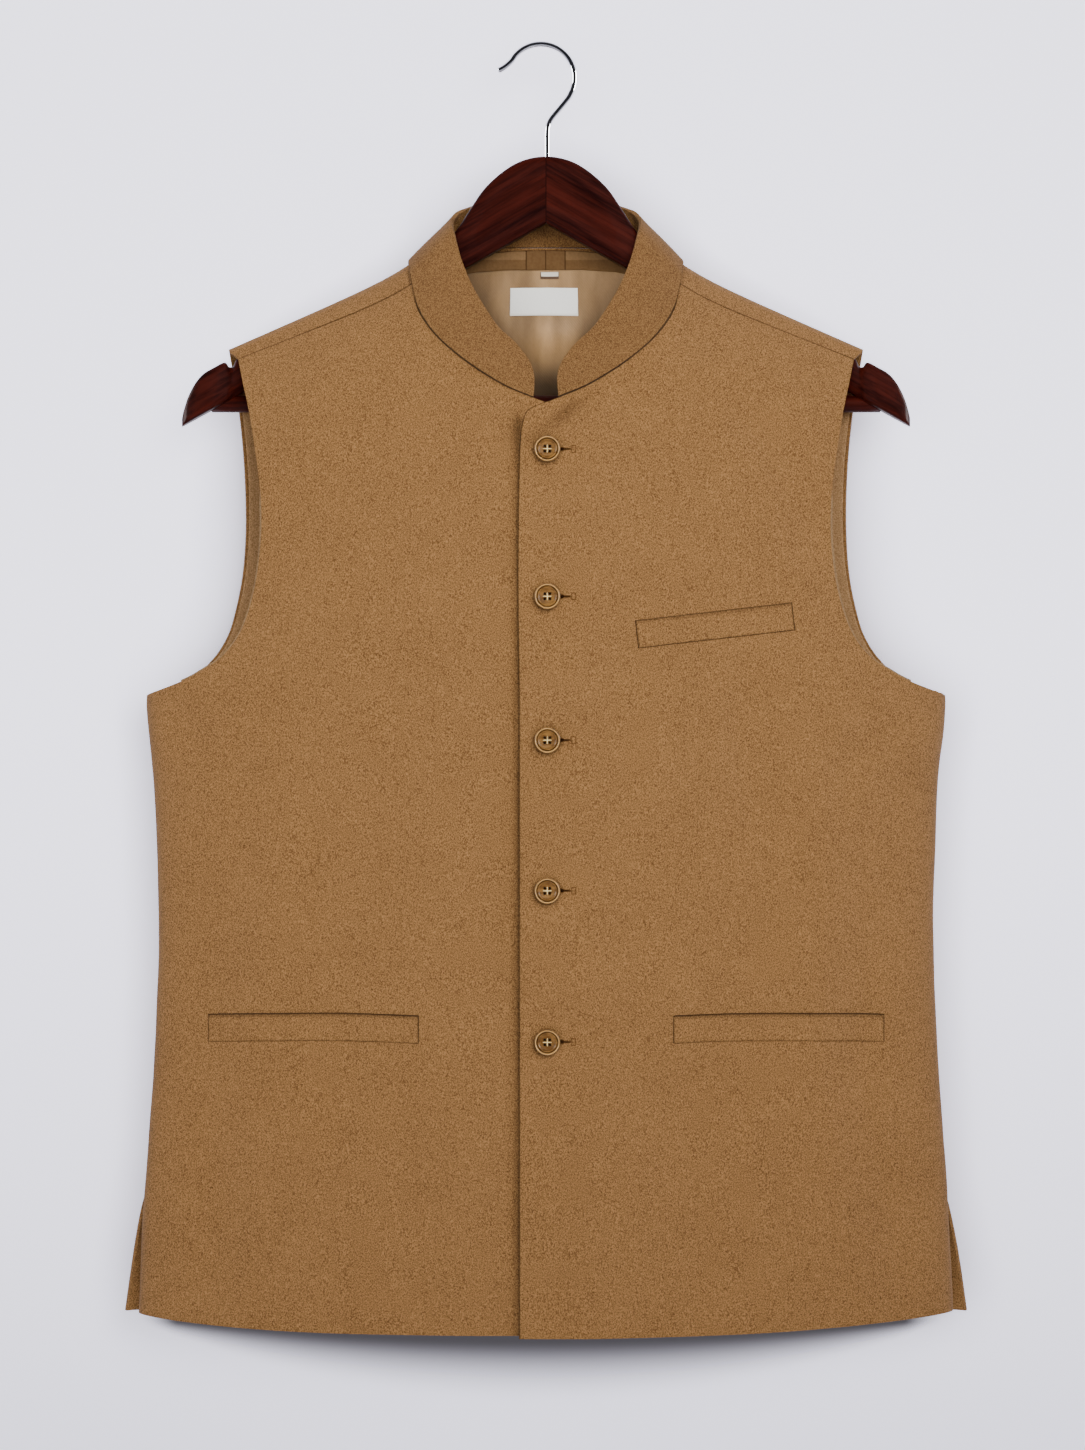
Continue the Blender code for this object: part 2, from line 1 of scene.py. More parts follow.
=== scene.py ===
"""A nehru jacket of tan wool flannel, buttoned up on a wooden hanger that hangs from its wire hook."""

import math
from collections import namedtuple

import bmesh
import bpy
import numpy as np
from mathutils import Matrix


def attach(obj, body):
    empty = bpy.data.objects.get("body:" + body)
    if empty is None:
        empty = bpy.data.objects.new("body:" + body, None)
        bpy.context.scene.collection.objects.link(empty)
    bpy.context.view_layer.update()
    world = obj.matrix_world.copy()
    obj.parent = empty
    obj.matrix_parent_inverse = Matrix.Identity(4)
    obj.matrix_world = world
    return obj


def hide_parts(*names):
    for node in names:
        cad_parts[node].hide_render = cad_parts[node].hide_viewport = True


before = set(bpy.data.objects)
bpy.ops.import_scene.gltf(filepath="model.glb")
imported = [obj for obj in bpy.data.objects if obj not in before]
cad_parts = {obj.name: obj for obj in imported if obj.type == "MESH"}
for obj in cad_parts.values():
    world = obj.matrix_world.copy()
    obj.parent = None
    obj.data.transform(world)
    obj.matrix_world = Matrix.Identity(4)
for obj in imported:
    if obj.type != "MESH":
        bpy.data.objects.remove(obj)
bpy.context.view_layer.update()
tau = 2 * math.pi


# ---- The room: a smooth plaster wall, a pale floor, large soft boxes and the camera.
# The wall stands a few centimetres behind the jacket. It glows though it is no lamp, and its faint soft shadow
# is partly cast by the lamps and mostly painted into that glow and its colour.

WALL_Y = 0.046
FLOOR_Z = -1.45
WALL_GREY = (0.455, 0.447, 0.525)
WALL_GLOW = 3.5
ROOM_GREY = (0.62, 0.62, 0.645)
WALL_PAINTED_SHADE = (0.01, 0.009, 0.01)
FLAG_GREY = (0.02, 0.02, 0.022)
PLANE_SIZE = 9.0
CLOSE_TO_WALL = 0.048

# The wall's painted glow low down, and the heights between which it grows to the full one, in metres.
LOW_GLOW, DIM_TO_BRIGHT = 0.44, (-1.2, -0.35)

# The painted shadow under the hem: where the hem is in the middle and how fast it rises to the sides, how far
# down the painted shadow reaches and how fast that shrinks, where it fades out sideways, and how deep it is.
HEM_DROP, HEM_CURVE = 0.831, 0.22
SHADE_REACH, SHADE_NARROWING, SHADE_ENDS, SHADE_DEPTH = 0.042, 0.56, (0.262, 0.235), 0.97


class Socket:
    """An output of a shader node. Sums, products and powers of sockets and numbers add Math nodes."""

    def __init__(self, finish, socket):
        self.finish, self.socket = finish, socket

    def maths(self, operation, *values):
        return self.finish.node("Math", {"operation": operation}, dict(enumerate(values)))

    def __add__(self, other):
        return self.maths("ADD", self, other)

    def __sub__(self, other):
        return self.maths("SUBTRACT", self, other)

    def __rsub__(self, other):
        return self.maths("SUBTRACT", other, self)

    def __mul__(self, other):
        return self.maths("MULTIPLY", self, other)

    def __pow__(self, other):
        return self.maths("POWER", self, other)

    def __abs__(self):
        return self.maths("ABSOLUTE", self)

    __rmul__ = __mul__

    def wave(self):
        return self.maths("SINE", self)

    def at_least(self, least):
        return self.maths("MAXIMUM", self, least)

    def between(self, low, high):
        """0 at low, 1 at high, and a smooth step between."""
        ends = {"Value": self, "From Min": low, "From Max": high}
        return self.finish.node("MapRange", {"interpolation_type": "SMOOTHSTEP"}, ends)


class Finish:
    """A material in the making."""

    def __init__(self, name):
        self.material = bpy.data.materials.new(name)
        self.material.use_nodes = True
        self.tree = self.material.node_tree
        self.tree.nodes.clear()

    def node(self, kind, settings=(), sockets=(), out=0):
        """Adds a node of a type with its settings and what its sockets take, and gives one of its outputs."""
        made = self.tree.nodes.new("ShaderNode" + kind)
        for name, value in dict(settings).items():
            setattr(made, name, value)
        for name, value in dict(sockets).items():
            if isinstance(value, Socket):
                self.tree.links.new(value.socket, made.inputs[name])
            elif isinstance(value, tuple) and len(made.inputs[name].default_value) == 4:
                made.inputs[name].default_value = (*value[:3], 1.0)
            else:
                made.inputs[name].default_value = value
        return Socket(self, made.outputs[out]) if made.outputs else None

    def place(self, stretch=(1.0, 1.0, 1.0), turn=(0.0, 0.0, 0.0)):
        """Where a point is in the piece's own metres, turned and stretched."""
        here = self.node("TexCoord", out="Object")
        return self.node("Mapping", (), {"Vector": here, "Rotation": turn, "Scale": stretch})

    def noise(self, place, scale, detail=2.0, roughness=0.5):
        """A smooth random pattern from 0 to 1, of about this many grains to the metre."""
        values = {"Vector": place, "Scale": scale, "Detail": detail, "Roughness": roughness}
        return self.node("TexNoise", (), values)

    def part(self, place, axis):
        """One of the three numbers of a place: 0 for x, 1 for y and 2 for z."""
        return self.node("SeparateXYZ", (), {0: place}, axis)

    def mark(self):
        """The share that surface_mesh keeps for each point, which paints shade into seams and hollows, and a
        highlight onto the buttons' rims where it is below 0.
        """
        return self.node("Attribute", {"attribute_name": "mark"}, out="Fac")

    def blend(self, share, low, high):
        """The colour low where share is 0 and high where it is 1."""
        return self.node("Mix", {"data_type": "RGBA"}, {0: share, 6: low, 7: high}, 2)

    def bump(self, height, distance, strength=1.0):
        return self.node("Bump", (), {"Height": height, "Distance": distance, "Strength": strength})

    def surface(self, one_sided=False, **values):
        """The finished material: a Principled surface whose sockets take these values.

        A one-sided one has nothing behind, so it hides nothing from the far side."""
        shader = self.node("BsdfPrincipled", (), {k.replace("_", " "): v for k, v in values.items()})
        if one_sided:
            sides = {0: self.node("NewGeometry", out="Backfacing"), 1: shader, 2: self.node("BsdfTransparent")}
            shader = self.node("MixShader", (), sides)
        self.node("OutputMaterial", (), {"Surface": shader})
        return self.material


def linked(name, data):
    """A new object of the scene that shows a mesh, a light or a camera."""
    made = bpy.data.objects.new(name, data)
    bpy.context.scene.collection.objects.link(made)
    return made


def plane(name, where, turn, finish):
    """A flat square of the room, facing along its turned +Z."""
    bpy.ops.mesh.primitive_plane_add(size=PLANE_SIZE, location=where, rotation=turn)
    made = bpy.context.object
    made.name = name
    made.data.materials.append(finish)
    return made


def times(colour, share):
    """A colour made darker."""
    return tuple(share * part for part in colour)


def wall_paint():
    """Plaster that glows evenly though it is no lamp, but for painted shade where something stands close to
    it, and dimmer low down.

    Under the hem a shadow is painted into the glow and the colour, further down in the middle than at the
    sides.
    The hem is the curve height = HEM_CURVE · across^2 - HEM_DROP, and the painted shadow fades out at reach."""
    paint = Finish("wall_paint")
    place = paint.node("TexCoord", out="Object")
    across, height = paint.part(place, 0), paint.part(place, 1)
    glow = paint.blend(height.between(*DIM_TO_BRIGHT), times(WALL_GREY, LOW_GLOW), WALL_GREY)
    # A painted shadow under the hem, on both the glow and the plaster's colour.
    below_hem = HEM_CURVE * across * across - height - HEM_DROP
    reach = (SHADE_REACH - SHADE_NARROWING * across * across).at_least(0.001)
    painted_hem_shadow = below_hem.between(reach, 0.0) * below_hem.between(-0.06, -0.02) * abs(across).between(*SHADE_ENDS)
    glow = paint.blend(SHADE_DEPTH * painted_hem_shadow, glow, WALL_PAINTED_SHADE)
    plaster = paint.blend(SHADE_DEPTH * painted_hem_shadow, WALL_GREY, WALL_PAINTED_SHADE)
    # Painted contact shade: the glow darkens where ambient occlusion finds something within CLOSE_TO_WALL of
    # the wall.
    clear_of = paint.node("AmbientOcclusion", {"samples": 2}, {"Distance": CLOSE_TO_WALL}, out="AO")
    glow = paint.blend(clear_of ** 4.0, WALL_PAINTED_SHADE, glow)
    return paint.surface(one_sided=True, Base_Color=plaster, Roughness=0.9, Emission_Color=glow,
                         Emission_Strength=WALL_GLOW)


wall = plane("wall", (0.0, WALL_Y, 0.0), (math.pi / 2, 0, 0), wall_paint())
wall.visible_shadow = False
plane("floor", (0.0, WALL_Y - PLANE_SIZE / 2, FLOOR_Z), (0, 0, 0),
      Finish("floor_paint").surface(one_sided=True, Base_Color=ROOM_GREY, Roughness=0.8))

# A black flag behind the camera keeps the room's own light off the cloth's face.
flag = plane("black_flag", (0.0, -3.3, -0.4), (-math.pi / 2, 0, 0),
             Finish("flag_cloth").surface(Base_Color=FLAG_GREY, Roughness=1.0, Specular_IOR_Level=0.0))
flag.visible_camera = False

# Soft boxes: watts, size in metres, spread in degrees, and where each stands and aims. One that shines
# is seen only as a reflection, and the others light the room without one.
Lamp = namedtuple("Lamp", "name watts size spread shines where aim")
LAMPS = (
    Lamp("key_box", 10.4, 1.2, 64, False, (0.54, -2.0, 0.22), (-0.03, 0.0, -0.28)),
    Lamp("fill_box", 9.8, 1.8, 64, False, (-0.85, -2.25, -0.36), (-0.03, 0.0, -0.28)),
    Lamp("top_box", 8.0, 1.6, 160, False, (0.1, -0.7, 1.6), (0.0, 0.0, -0.30)),
    Lamp("near_side_box", 110.0, 1.2, 180, True, (2.2, -0.55, 0.15), (0.0, 0.0, 0.0)),
    Lamp("far_side_box", 75.0, 1.2, 180, True, (-2.2, -0.55, 0.15), (0.0, 0.0, 0.0)),
    Lamp("back_box", 140.0, 2.0, 180, False, (0.9, 2.6, 0.6), (0.0, 0.0, -0.40)),
)
for lamp in LAMPS:
    light = bpy.data.lights.new(lamp.name, "AREA")
    light.energy, light.size, light.spread = lamp.watts, lamp.size, math.radians(lamp.spread)
    box = linked(lamp.name, light)
    box.visible_glossy, box.visible_diffuse = lamp.shines, not lamp.shines
    box.location = lamp.where
    aim = np.array(lamp.aim) - np.array(lamp.where)
    level_out = math.hypot(aim[0], aim[1])
    box.rotation_euler = (math.atan2(level_out, -aim[2]), 0, math.atan2(-aim[0], aim[1]))

room = bpy.data.worlds.new("room")
room.use_nodes = True
air = room.node_tree.nodes["Background"].inputs
air["Color"].default_value, air["Strength"].default_value = (0.86, 0.87, 0.92, 1.0), 0.24
bpy.context.scene.world = room

# The camera sees 913.5 mm of height from 2600 mm away, square on to the hanging jacket.
seen = bpy.data.cameras.new("camera")
seen.sensor_width = 36.0
seen.lens = seen.sensor_width * 2600 / 913.5
seen.clip_end = 10.0
camera = linked("camera", seen)
camera.location = (0.00107, -2.630, -0.43213)
camera.rotation_euler = (math.pi / 2, 0, 0)
bpy.context.scene.camera = camera


# ---- The two fronts: milled wool flannel, the wearer's left one lapping over the right one.
# Each is cut in one piece from hem to shoulder seam, and its edges are turned in and pressed.
# Sizes are millimetres from the top of the hanger's wooden crown, x to the right, z up, -y in front.

CROWN_TOP = np.array([3.3, 0.0, -70.13])
CLOTH = 2.2
ROUNDNESS = 2.6
UNDERARM_Z = -343.0
VENT_TOP_Z, VENT_BOTTOM_Z, BACK_FLARE, VENT_UNCURL = -663.0, -736.0, 10.0, 0.014

# Half width, front depth and back depth of the hanging body at each height.
BODY = np.array((
    (-750, 259.8, 32, 29), (-663, 255.9, 33, 30), (-588, 250.5, 34, 31), (-537, 247.9, 36, 32),
    (-486, 246.6, 37, 33), (-435, 247.9, 38, 34), (-384, 250.5, 39, 35), (-343, 254.3, 40, 36),
    (-300, 232, 40, 36), (-250, 216, 39, 37), (-180, 220, 37, 36), (-130, 238, 35, 34),
    (-100, 242, 34, 31), (-50, 244, 34, 28.5),
))
BODY_SLOPES = np.gradient(BODY[:, 1:], BODY[:, 0], axis=0)
BODY_SLOPES[7, 0] = -0.09

RIDGE_Z, RIDGE_SLOPE, NECK_HALF_WIDTH, NECK_STEEPENING, NECK_BLEND = -71.0, 0.45, 85.0, 0.5, 12.0
SHOULDER_DROP, SHOULDER_ROUND, SHOULDER_SWEEP = 100.0, 0.7, 8.0
LAP_LIFT, LAP_FLAT_X, LAP_END_X, LAP_SHADE_X = 2.7, 19.0, 60.0, 17.6

# The shoulder: how far below the ridge each row across it lies at the neck and at the tip, where it
# starts and ends, and whether it is in front of the ridge. The last row is the forward shoulder seam.
Wrap = namedtuple("Wrap", "drop_at_neck drop_at_tip neck_x tip_x front")
SHOULDER_ROWS = (
    Wrap(14.0, 14.0, 67.0, 199.8, False), Wrap(7.0, 7.0, 76.5, 200.8, False),
    Wrap(2.2, 2.2, 83.0, 201.4, False), Wrap(0.0, 0.0, 85.4, 201.6, False),
    Wrap(2.2, 2.2, 86.0, 200.6, True), Wrap(7.0, 5.6, 85.7, 198.0, True), Wrap(15.4, 9.6, 84.9, 195.0, True),
)

# The inner edge of a front, from underarm height up the lap, round its corner and along the neck seam.
FRONT_EDGE = (
    (-17, -343), (-17.7, -285), (-17.5, -230), (-16.6, -192), (-15.7, -177), (-14, -168.5),
    (-11.6, -164.2), (-6.6, -161.3), (6, -156.9), (27, -148), (49, -134.3), (68, -118),
    (80.2, -100.7), (85.1, -79.9),
)
FRONT_ARMHOLE = (
    (254.3, -343), (232, -335), (219, -328.5), (203.5, -318), (191.5, -301), (183.5, -275),
    (179.8, -245), (179.8, -221), (181.8, -200), (186.5, -169), (191.5, -146), (195, -129.2),
)

# The hem of a front: its height in the middle, how far it rises to the side, and the power it rises by.
Hem = namedtuple("Hem", "centre rise power")
LEFT_HEM, RIGHT_HEM, HEM_HALF_WIDTH = Hem(-748.2, 13.8, 2.4), Hem(-746.5, 10.6, 3.3), 259.0

# How deep the painted shade along seams and turned edges is, from 0 to 1.
SHOULDER_SEAM_SHADE, LAP_EDGE_SHADE, COLLAR_SEAM_SHADE, FACING_SEAM_SHADE = 0.7, 1.0, 0.8, 0.95

BUTTON_X, BUTTON_Z = 0.8, (-188.8, -281.4, -371.5, -466.0, -561.1)

# The pockets' welts, as (x, z) of the middle of each end and how far the middle bows up.
Welt = namedtuple("Welt", "inner outer bow")
WELT_HEIGHT, WELT_BED_DEPTH = 17.8, 1.5
HIP_WELT, CHEST_WELT = Welt((80.0, -553.6), (214.0, -553.4), 1.4), Welt((56.8, -305.1), (155.8, -293.6), 0.0)

# Soft creases of the hanging cloth: middle, the way it runs, half its length, half its width, its height.
Crease = namedtuple("Crease", "x z along_x along_z length width height")


def crease_table(*rows):
    return [Crease(*row) for row in rows]


LEFT_CREASES = crease_table(
    (7, -170, 20, 13, 26, 3.4, -2.1), (13, -177, 20, 12, 26, 5, 1.2),
    (120, -470, -10, -100, 170, 26, -2.2), (172, -520, 12, -100, 150, 22, 1.7),
    (70, -420, 14, -100, 150, 24, 1.2), (205, -600, 8, -100, 130, 18, -2),
    (96, -660, -6, -100, 90, 22, -1.6), (46, -640, 4, -100, 110, 17, 1.4),
    (148, -205, 30, -50, 60, 15, -1.5), (120, -165, 45, -20, 48, 12, -0.9),
    (214, -365, -30, -16, 36, 11, -1.5), (222, -388, -30, -26, 40, 12, 1),
    (132, -395, 5, -60, 80, 12, -0.9),
)
RIGHT_CREASES = crease_table(
    (112, -455, 9, -100, 170, 27, -2.2), (168, -500, -8, -100, 150, 23, 1.8),
    (64, -520, -6, -100, 160, 22, 1.2), (210, -610, 6, -100, 130, 18, -2.1),
    (88, -665, 7, -100, 90, 22, -1.7), (40, -650, 3, -100, 110, 16, 1.2),
    (140, -215, 28, -55, 60, 16, -1.4), (96, -190, 40, -34, 46, 14, -1),
    (216, -368, -30, -18, 38, 11, -1.4), (226, -395, -30, -28, 40, 12, 1),
)


def body(column, z):
    """Half width, front depth or back depth at height z: a cubic through the rows of BODY, smooth at each."""
    heights, values, slopes = BODY[:, 0], BODY[:, column], BODY_SLOPES[:, column - 1]
    z = np.clip(z, heights[0], heights[-1])
    row = np.clip(np.searchsorted(heights, z) - 1, 0, len(heights) - 2)
    span = heights[row + 1] - heights[row]
    t = (z - heights[row]) / span
    low, high = values[row], values[row + 1]
    start, end = slopes[row] * span, slopes[row + 1] * span
    rise = high - low
    return low + t * (start + t * (3 * rise - 2 * start - end + t * (start + end - 2 * rise)))


def step(share):
    """0 below 0, 1 above 1, and 3s^2 - 2s^3 between."""
    share = np.clip(share, 0, 1)
    return share * share * (3 - 2 * share)


def bell(far, width, power=2):
    """1 where far is 0, falling off on both sides as exp(-(far/width)^power)."""
    return np.exp(-((far / width) ** power))


def unit(vectors):
    """The vectors along the last axis, scaled to a length of 1."""
    return vectors / np.maximum(np.linalg.norm(vectors, axis=-1, keepdims=True), 1e-9)


def mirrored(grid):
    """A grid of the wearer's left side as one of the right, its columns reversed to face as before."""
    return grid[:, ::-1] * (-1, 1, 1)


def ridge(x):
    """Height of the shoulder ridge: a straight slope that steepens smoothly inside the neck."""
    across = np.abs(x)
    inward = np.logaddexp(0.0, (NECK_HALF_WIDTH - across) / NECK_BLEND) * NECK_BLEND
    return RIDGE_Z - RIDGE_SLOPE * (across - NECK_HALF_WIDTH) + NECK_STEEPENING * inward


def shoulder(x, z):
    """1 well below the ridge, falling to 0 on it as (1 - (1 - d/D)^2)^r."""
    near = np.clip(1 - (ridge(x) - z) / SHOULDER_DROP, 0, 1)
    return (1 - near**2) ** SHOULDER_ROUND


def across_body(x, half_width):
    """The superellipse's depth over x, 1 in the middle and 0 at the half width."""
    return (1 - np.clip(np.abs(x) / half_width, 0, 1) ** ROUNDNESS) ** (1 / ROUNDNESS)


def sweep(x, z):
    """The hanger's arms push the shoulders forward towards their tips."""
    out = np.clip((np.abs(x) - 60) / 140, 0, 1)
    return -SHOULDER_SWEEP * out**2 * np.clip((z + 300) / 150, 0, 1)


def seam_plane(z):
    """Half the space between the fronts and the back: closed along the side seams, a little open above."""
    return 0.12 + 0.83 * step((z - UNDERARM_Z) / 60) + 0.5 * step((VENT_TOP_Z - z) / 20)


def front_y(x, z):
    return sweep(x, z) - body(2, z) * across_body(x, body(1, z)) * shoulder(x, z) - seam_plane(z)


def over_front_y(x, z):
    """The lapping front stands off the body's surface at its edge and eases back to it past the buttons."""
    return front_y(x, z) - LAP_LIFT * (1 - step((x - LAP_FLAT_X) / (LAP_END_X - LAP_FLAT_X)))


def on_surface(xz, surface):
    return np.dstack([xz[..., 0], surface(xz[..., 0], xz[..., 1]), xz[..., 1]])


def along(points, t):
    """The Catmull-Rom curve through points, at any array of places t that count the points from 0."""
    points = np.asarray(points, float)
    ends = np.concatenate([2 * points[:1] - points[1:2], points, 2 * points[-1:] - points[-2:-1]])
    first = np.clip(np.floor(t).astype(int), 0, len(points) - 2)
    t = (t - first)[..., None]
    a, b, c, d = (ends[first + i] for i in range(4))
    return b + 0.5 * t * (c - a + t * (2 * a - 5 * b + 4 * c - d + t * (3 * (b - c) + d - a)))


def lengths_along(path):
    """The distance from the start of a path to each of its points."""
    return np.concatenate([[0], np.cumsum(np.linalg.norm(np.diff(path, axis=0), axis=1))])


def smooth_path(points, count):
    """count points at even distances along the Catmull-Rom curve through points."""
    fine = along(points, np.arange(24 * (len(points) - 1) + 1) / 24)
    run = lengths_along(fine)
    places = np.linspace(0, run[-1], count)
    return np.stack([np.interp(places, run, part) for part in fine.T], axis=1)


def between_edges(inner, outer, top, shares):
    """A Coons patch over a straight bottom edge: rows run from the inner to the outer edge, by shares."""
    v = np.linspace(0, 1, len(inner))[:, None, None]
    u = shares[None, :, None]
    bottom = inner[0] + shares[:, None] * (outer[0] - inner[0])
    across = (1 - u) * inner[:, None] + u * outer[:, None]
    upwards = (1 - v) * bottom[None] + v * top[None]
    corners = (1 - v) * ((1 - u) * bottom[0] + u * bottom[-1]) + v * ((1 - u) * top[0] + u * top[-1])
    return across + upwards - corners


def around_body(count):
    """Shares of the half width from 0 to 1, a like distance apart on a body 500 wide and 38 deep."""
    fine = 1 - (1 - np.linspace(0, 1, 4000)) ** 3
    run = lengths_along(np.stack([250 * fine, 38 * across_body(fine, 1.0)], axis=1))
    return np.interp(np.linspace(0, run[-1], count), run, fine)


def shoulder_row(row, shares):
    """(x, z) along one row across the shoulder."""
    x = row.neck_x + (row.tip_x - row.neck_x) * shares
    return np.stack([x, ridge(x) - (row.drop_at_neck + (row.drop_at_tip - row.drop_at_neck) * shares)], axis=1)


def front_outline(hem, count, low_rows, high_rows):
    """(x, z) of a front on the wearer's left, from the hem up to the shoulder seam."""
    shares = around_body(count)
    seam = shoulder_row(SHOULDER_ROWS[-1], shares)
    seam[:, 1] -= 0.15
    edge, armhole = np.array(FRONT_EDGE), np.array(FRONT_ARMHOLE)
    edge[-1], armhole[-1] = seam[0], seam[-1]
    upper = between_edges(smooth_path(edge, high_rows), smooth_path(armhole, high_rows), seam, shares)
    up = np.linspace(0, 1, low_rows)[:-1, None]
    x = edge[0, 0] + (HEM_HALF_WIDTH - edge[0, 0]) * shares
    bottom = hem.centre + hem.rise * np.abs(x / HEM_HALF_WIDTH) ** hem.power
    z = bottom + (UNDERARM_Z - bottom) * up
    return np.concatenate([np.dstack([edge[0, 0] + (body(1, z) - edge[0, 0]) * shares, z]), upper])


def creased(x, z, creases):
    """Sum of height · exp(-across^2 - run^4), in widths and half lengths of each, all wavering a little."""
    out = np.zeros_like(x)
    for n, crease in enumerate(creases):
        way = unit(np.array([crease.along_x, crease.along_z], float))
        run = ((x - crease.x) * way[0] + (z - crease.z) * way[1]) / crease.length
        across = ((x - crease.x) * way[1] - (z - crease.z) * way[0]) / crease.width
        across = across + 0.35 * np.sin(run * 3.1 + n)
        out += crease.height * (1 + 0.3 * np.sin(run * 4.7 + 2 * n)) * np.exp(-(across**2) - run**4)
    return out


def welt_line(welt):
    """The middle of a welt's inner end, the way it runs from there and its length."""
    inner, outer = np.array(welt.inner), np.array(welt.outer)
    length = float(np.linalg.norm(outer - inner))
    return inner, (outer - inner) / length, length


def welt_bed(x, z, welt):
    """1 under a welt, falling to 0 just inside its edges: the cloth there is pressed in to take it."""
    inner, way, length = welt_line(welt)
    share = ((x - inner[0]) * way[0] + (z - inner[1]) * way[1]) / length
    up = (z - inner[1]) * way[0] - (x - inner[0]) * way[1] - welt.bow * 4 * share * (1 - share)
    inside = np.minimum(WELT_HEIGHT / 2 - np.abs(up), length * (0.5 - np.abs(share - 0.5)))
    return step((inside + 1.0) / 4.0)


def undulation(x, z, seed):
    """A faint all-over unevenness: four slow waves of about 0.2 mm that cross each other."""
    out = 0
    for n in range(4):
        turn = seed * 1.7 + n * 1.1
        pitch = 34.0 + 13 * n
        out = out + np.sin((x * math.cos(turn) + z * math.sin(turn)) / pitch * tau / 2 + seed + n)
    return 0.16 * out


def normals_of(grid):
    """Unit normals of a grid of points, from the steps along its rows and columns."""
    return unit(np.cross(np.gradient(grid, axis=1), np.gradient(grid, axis=0)))


def raised(grid, height):
    """The grid moved along its normals by a height for each point."""
    return grid + np.broadcast_to(height, grid.shape[:2])[..., None] * normals_of(grid)


def surface_mesh(name, finish, *grids, ring=False, painted_shadings=None):
    """An object through grids of points in millimetres, which face along their normals and join where
    they meet.

    marks holds a share for each point of each grid, and the finish reads it to paint shade into seams and
    hollows."""
    points, faces, start = [], [], 0
    for grid in grids:
        rows, columns = grid.shape[:2]
        index = start + np.arange(rows * columns).reshape(rows, columns)
        if ring:
            index = np.concatenate([index, index[:, :1]], axis=1)
        points.append(grid.reshape(-1, 3))
        corners = index[:-1, :-1], index[:-1, 1:], index[1:, 1:], index[1:, :-1]
        faces.append(np.stack(corners, axis=-1).reshape(-1, 4))
        start += rows * columns
    mesh = bpy.data.meshes.new(name)
    mesh.from_pydata((np.concatenate(points) + CROWN_TOP) * 0.001, [], np.concatenate(faces))
    if painted_shadings is not None:
        shares = np.concatenate([mark.ravel() for mark in painted_shadings])
        mesh.attributes.new("mark", "FLOAT", "POINT").data.foreach_set("value", shares.astype(np.float32))
    if len(grids) > 1:
        joined = bmesh.new()
        joined.from_mesh(mesh)
        bmesh.ops.remove_doubles(joined, verts=joined.verts, dist=0.00002)
        joined.to_mesh(mesh)
        joined.free()
    mesh.materials.append(finish)
    mesh.shade_smooth()
    return linked(name, mesh)


def thicken(made, thickness, edge_round=0.8, depth=0.0, segments=2):
    """Gives a surface a wall that starts at a depth behind it, and rounds the wall's edges."""
    wall = made.modifiers.new("wall", "SOLIDIFY")
    wall.thickness = thickness * 0.001
    wall.offset = -1.0 - 2.0 * depth / thickness
    if edge_round:
        soft = made.modifiers.new("turned_edge", "BEVEL")
        soft.width, soft.segments = edge_round * 0.001, segments
        soft.limit_method, soft.angle_limit = "ANGLE", math.radians(58)
    return made


def wool_flannel(name="wool_flannel", dark=(0.056, 0.0245, 0.0070), light=(0.259, 0.1345, 0.0480)):
    """Milled wool: a felted nap of fine dark and light fibres, slightly cloudy, with a faint sheen, and
    painted shade down to a fifth of its dark tone where surface_mesh gave it a share.
    """
    cloth = Finish(name)
    place = cloth.place()
    fibres = cloth.noise(cloth.place((1.0, 1.0, 0.72), (0, 0.6, 0)), 1650, 2.0, 0.6)
    nap = cloth.noise(place, 900)
    cloud = cloth.noise(place, 30)
    mix = fibres.between(0.30, 0.70) * 0.82 + nap.between(0.30, 0.70) * 0.13 + cloud.between(0.25, 0.75) * 0.05
    # Painted shade: seams, creases, the lap's edge and the cloth round the buttons are darkened by their
    # shares.
    tone = cloth.blend(cloth.mark() * 0.95, cloth.blend(mix, dark, light), times(dark, 0.2))
    felt = cloth.bump(fibres * 0.6 + nap * 0.5, 0.00042, 0.55)
    return cloth.surface(Base_Color=tone, Roughness=0.92, Normal=felt, Sheen_Weight=0.03, Sheen_Roughness=0.55,
                         Sheen_Tint=(1.0, 0.86, 0.68), Specular_IOR_Level=0.08)


FLANNEL = wool_flannel()


def hang(x, z, side):
    """How far a front stands off its surface, apart from its pockets and its buttons' dimples.

    The left one's lap edge ripples a little."""
    creases = LEFT_CREASES if side > 0 else RIGHT_CREASES
    height = creased(x, z, creases) + undulation(x, z, side) * step((x + 12) / 30)
    if side > 0:
        height = height + 0.35 * np.sin(z / 19.0 + np.sin(z / 47.0)) * bell(x - FRONT_EDGE[0][0], 9)
    return height * shoulder(x, z) ** 0.5


def dimples(x, z):
    """The left front drawn in a little under each button and round it."""
    out = 0
    for button_z in BUTTON_Z:
        far = np.hypot(x - BUTTON_X, (z - button_z) * 0.9)
        out = out - 0.55 * bell(far, 11) - 0.3 * bell(far - 19, 8)
    return out


def by_the_edge(grid, axis, share):
    """The grid with one more row or column between its last two, close to the last one."""
    last, before = np.take(grid, [-1], axis), np.take(grid, [-2], axis)
    return np.concatenate([np.delete(grid, -1, axis), before + share * (last - before), last], axis=axis)


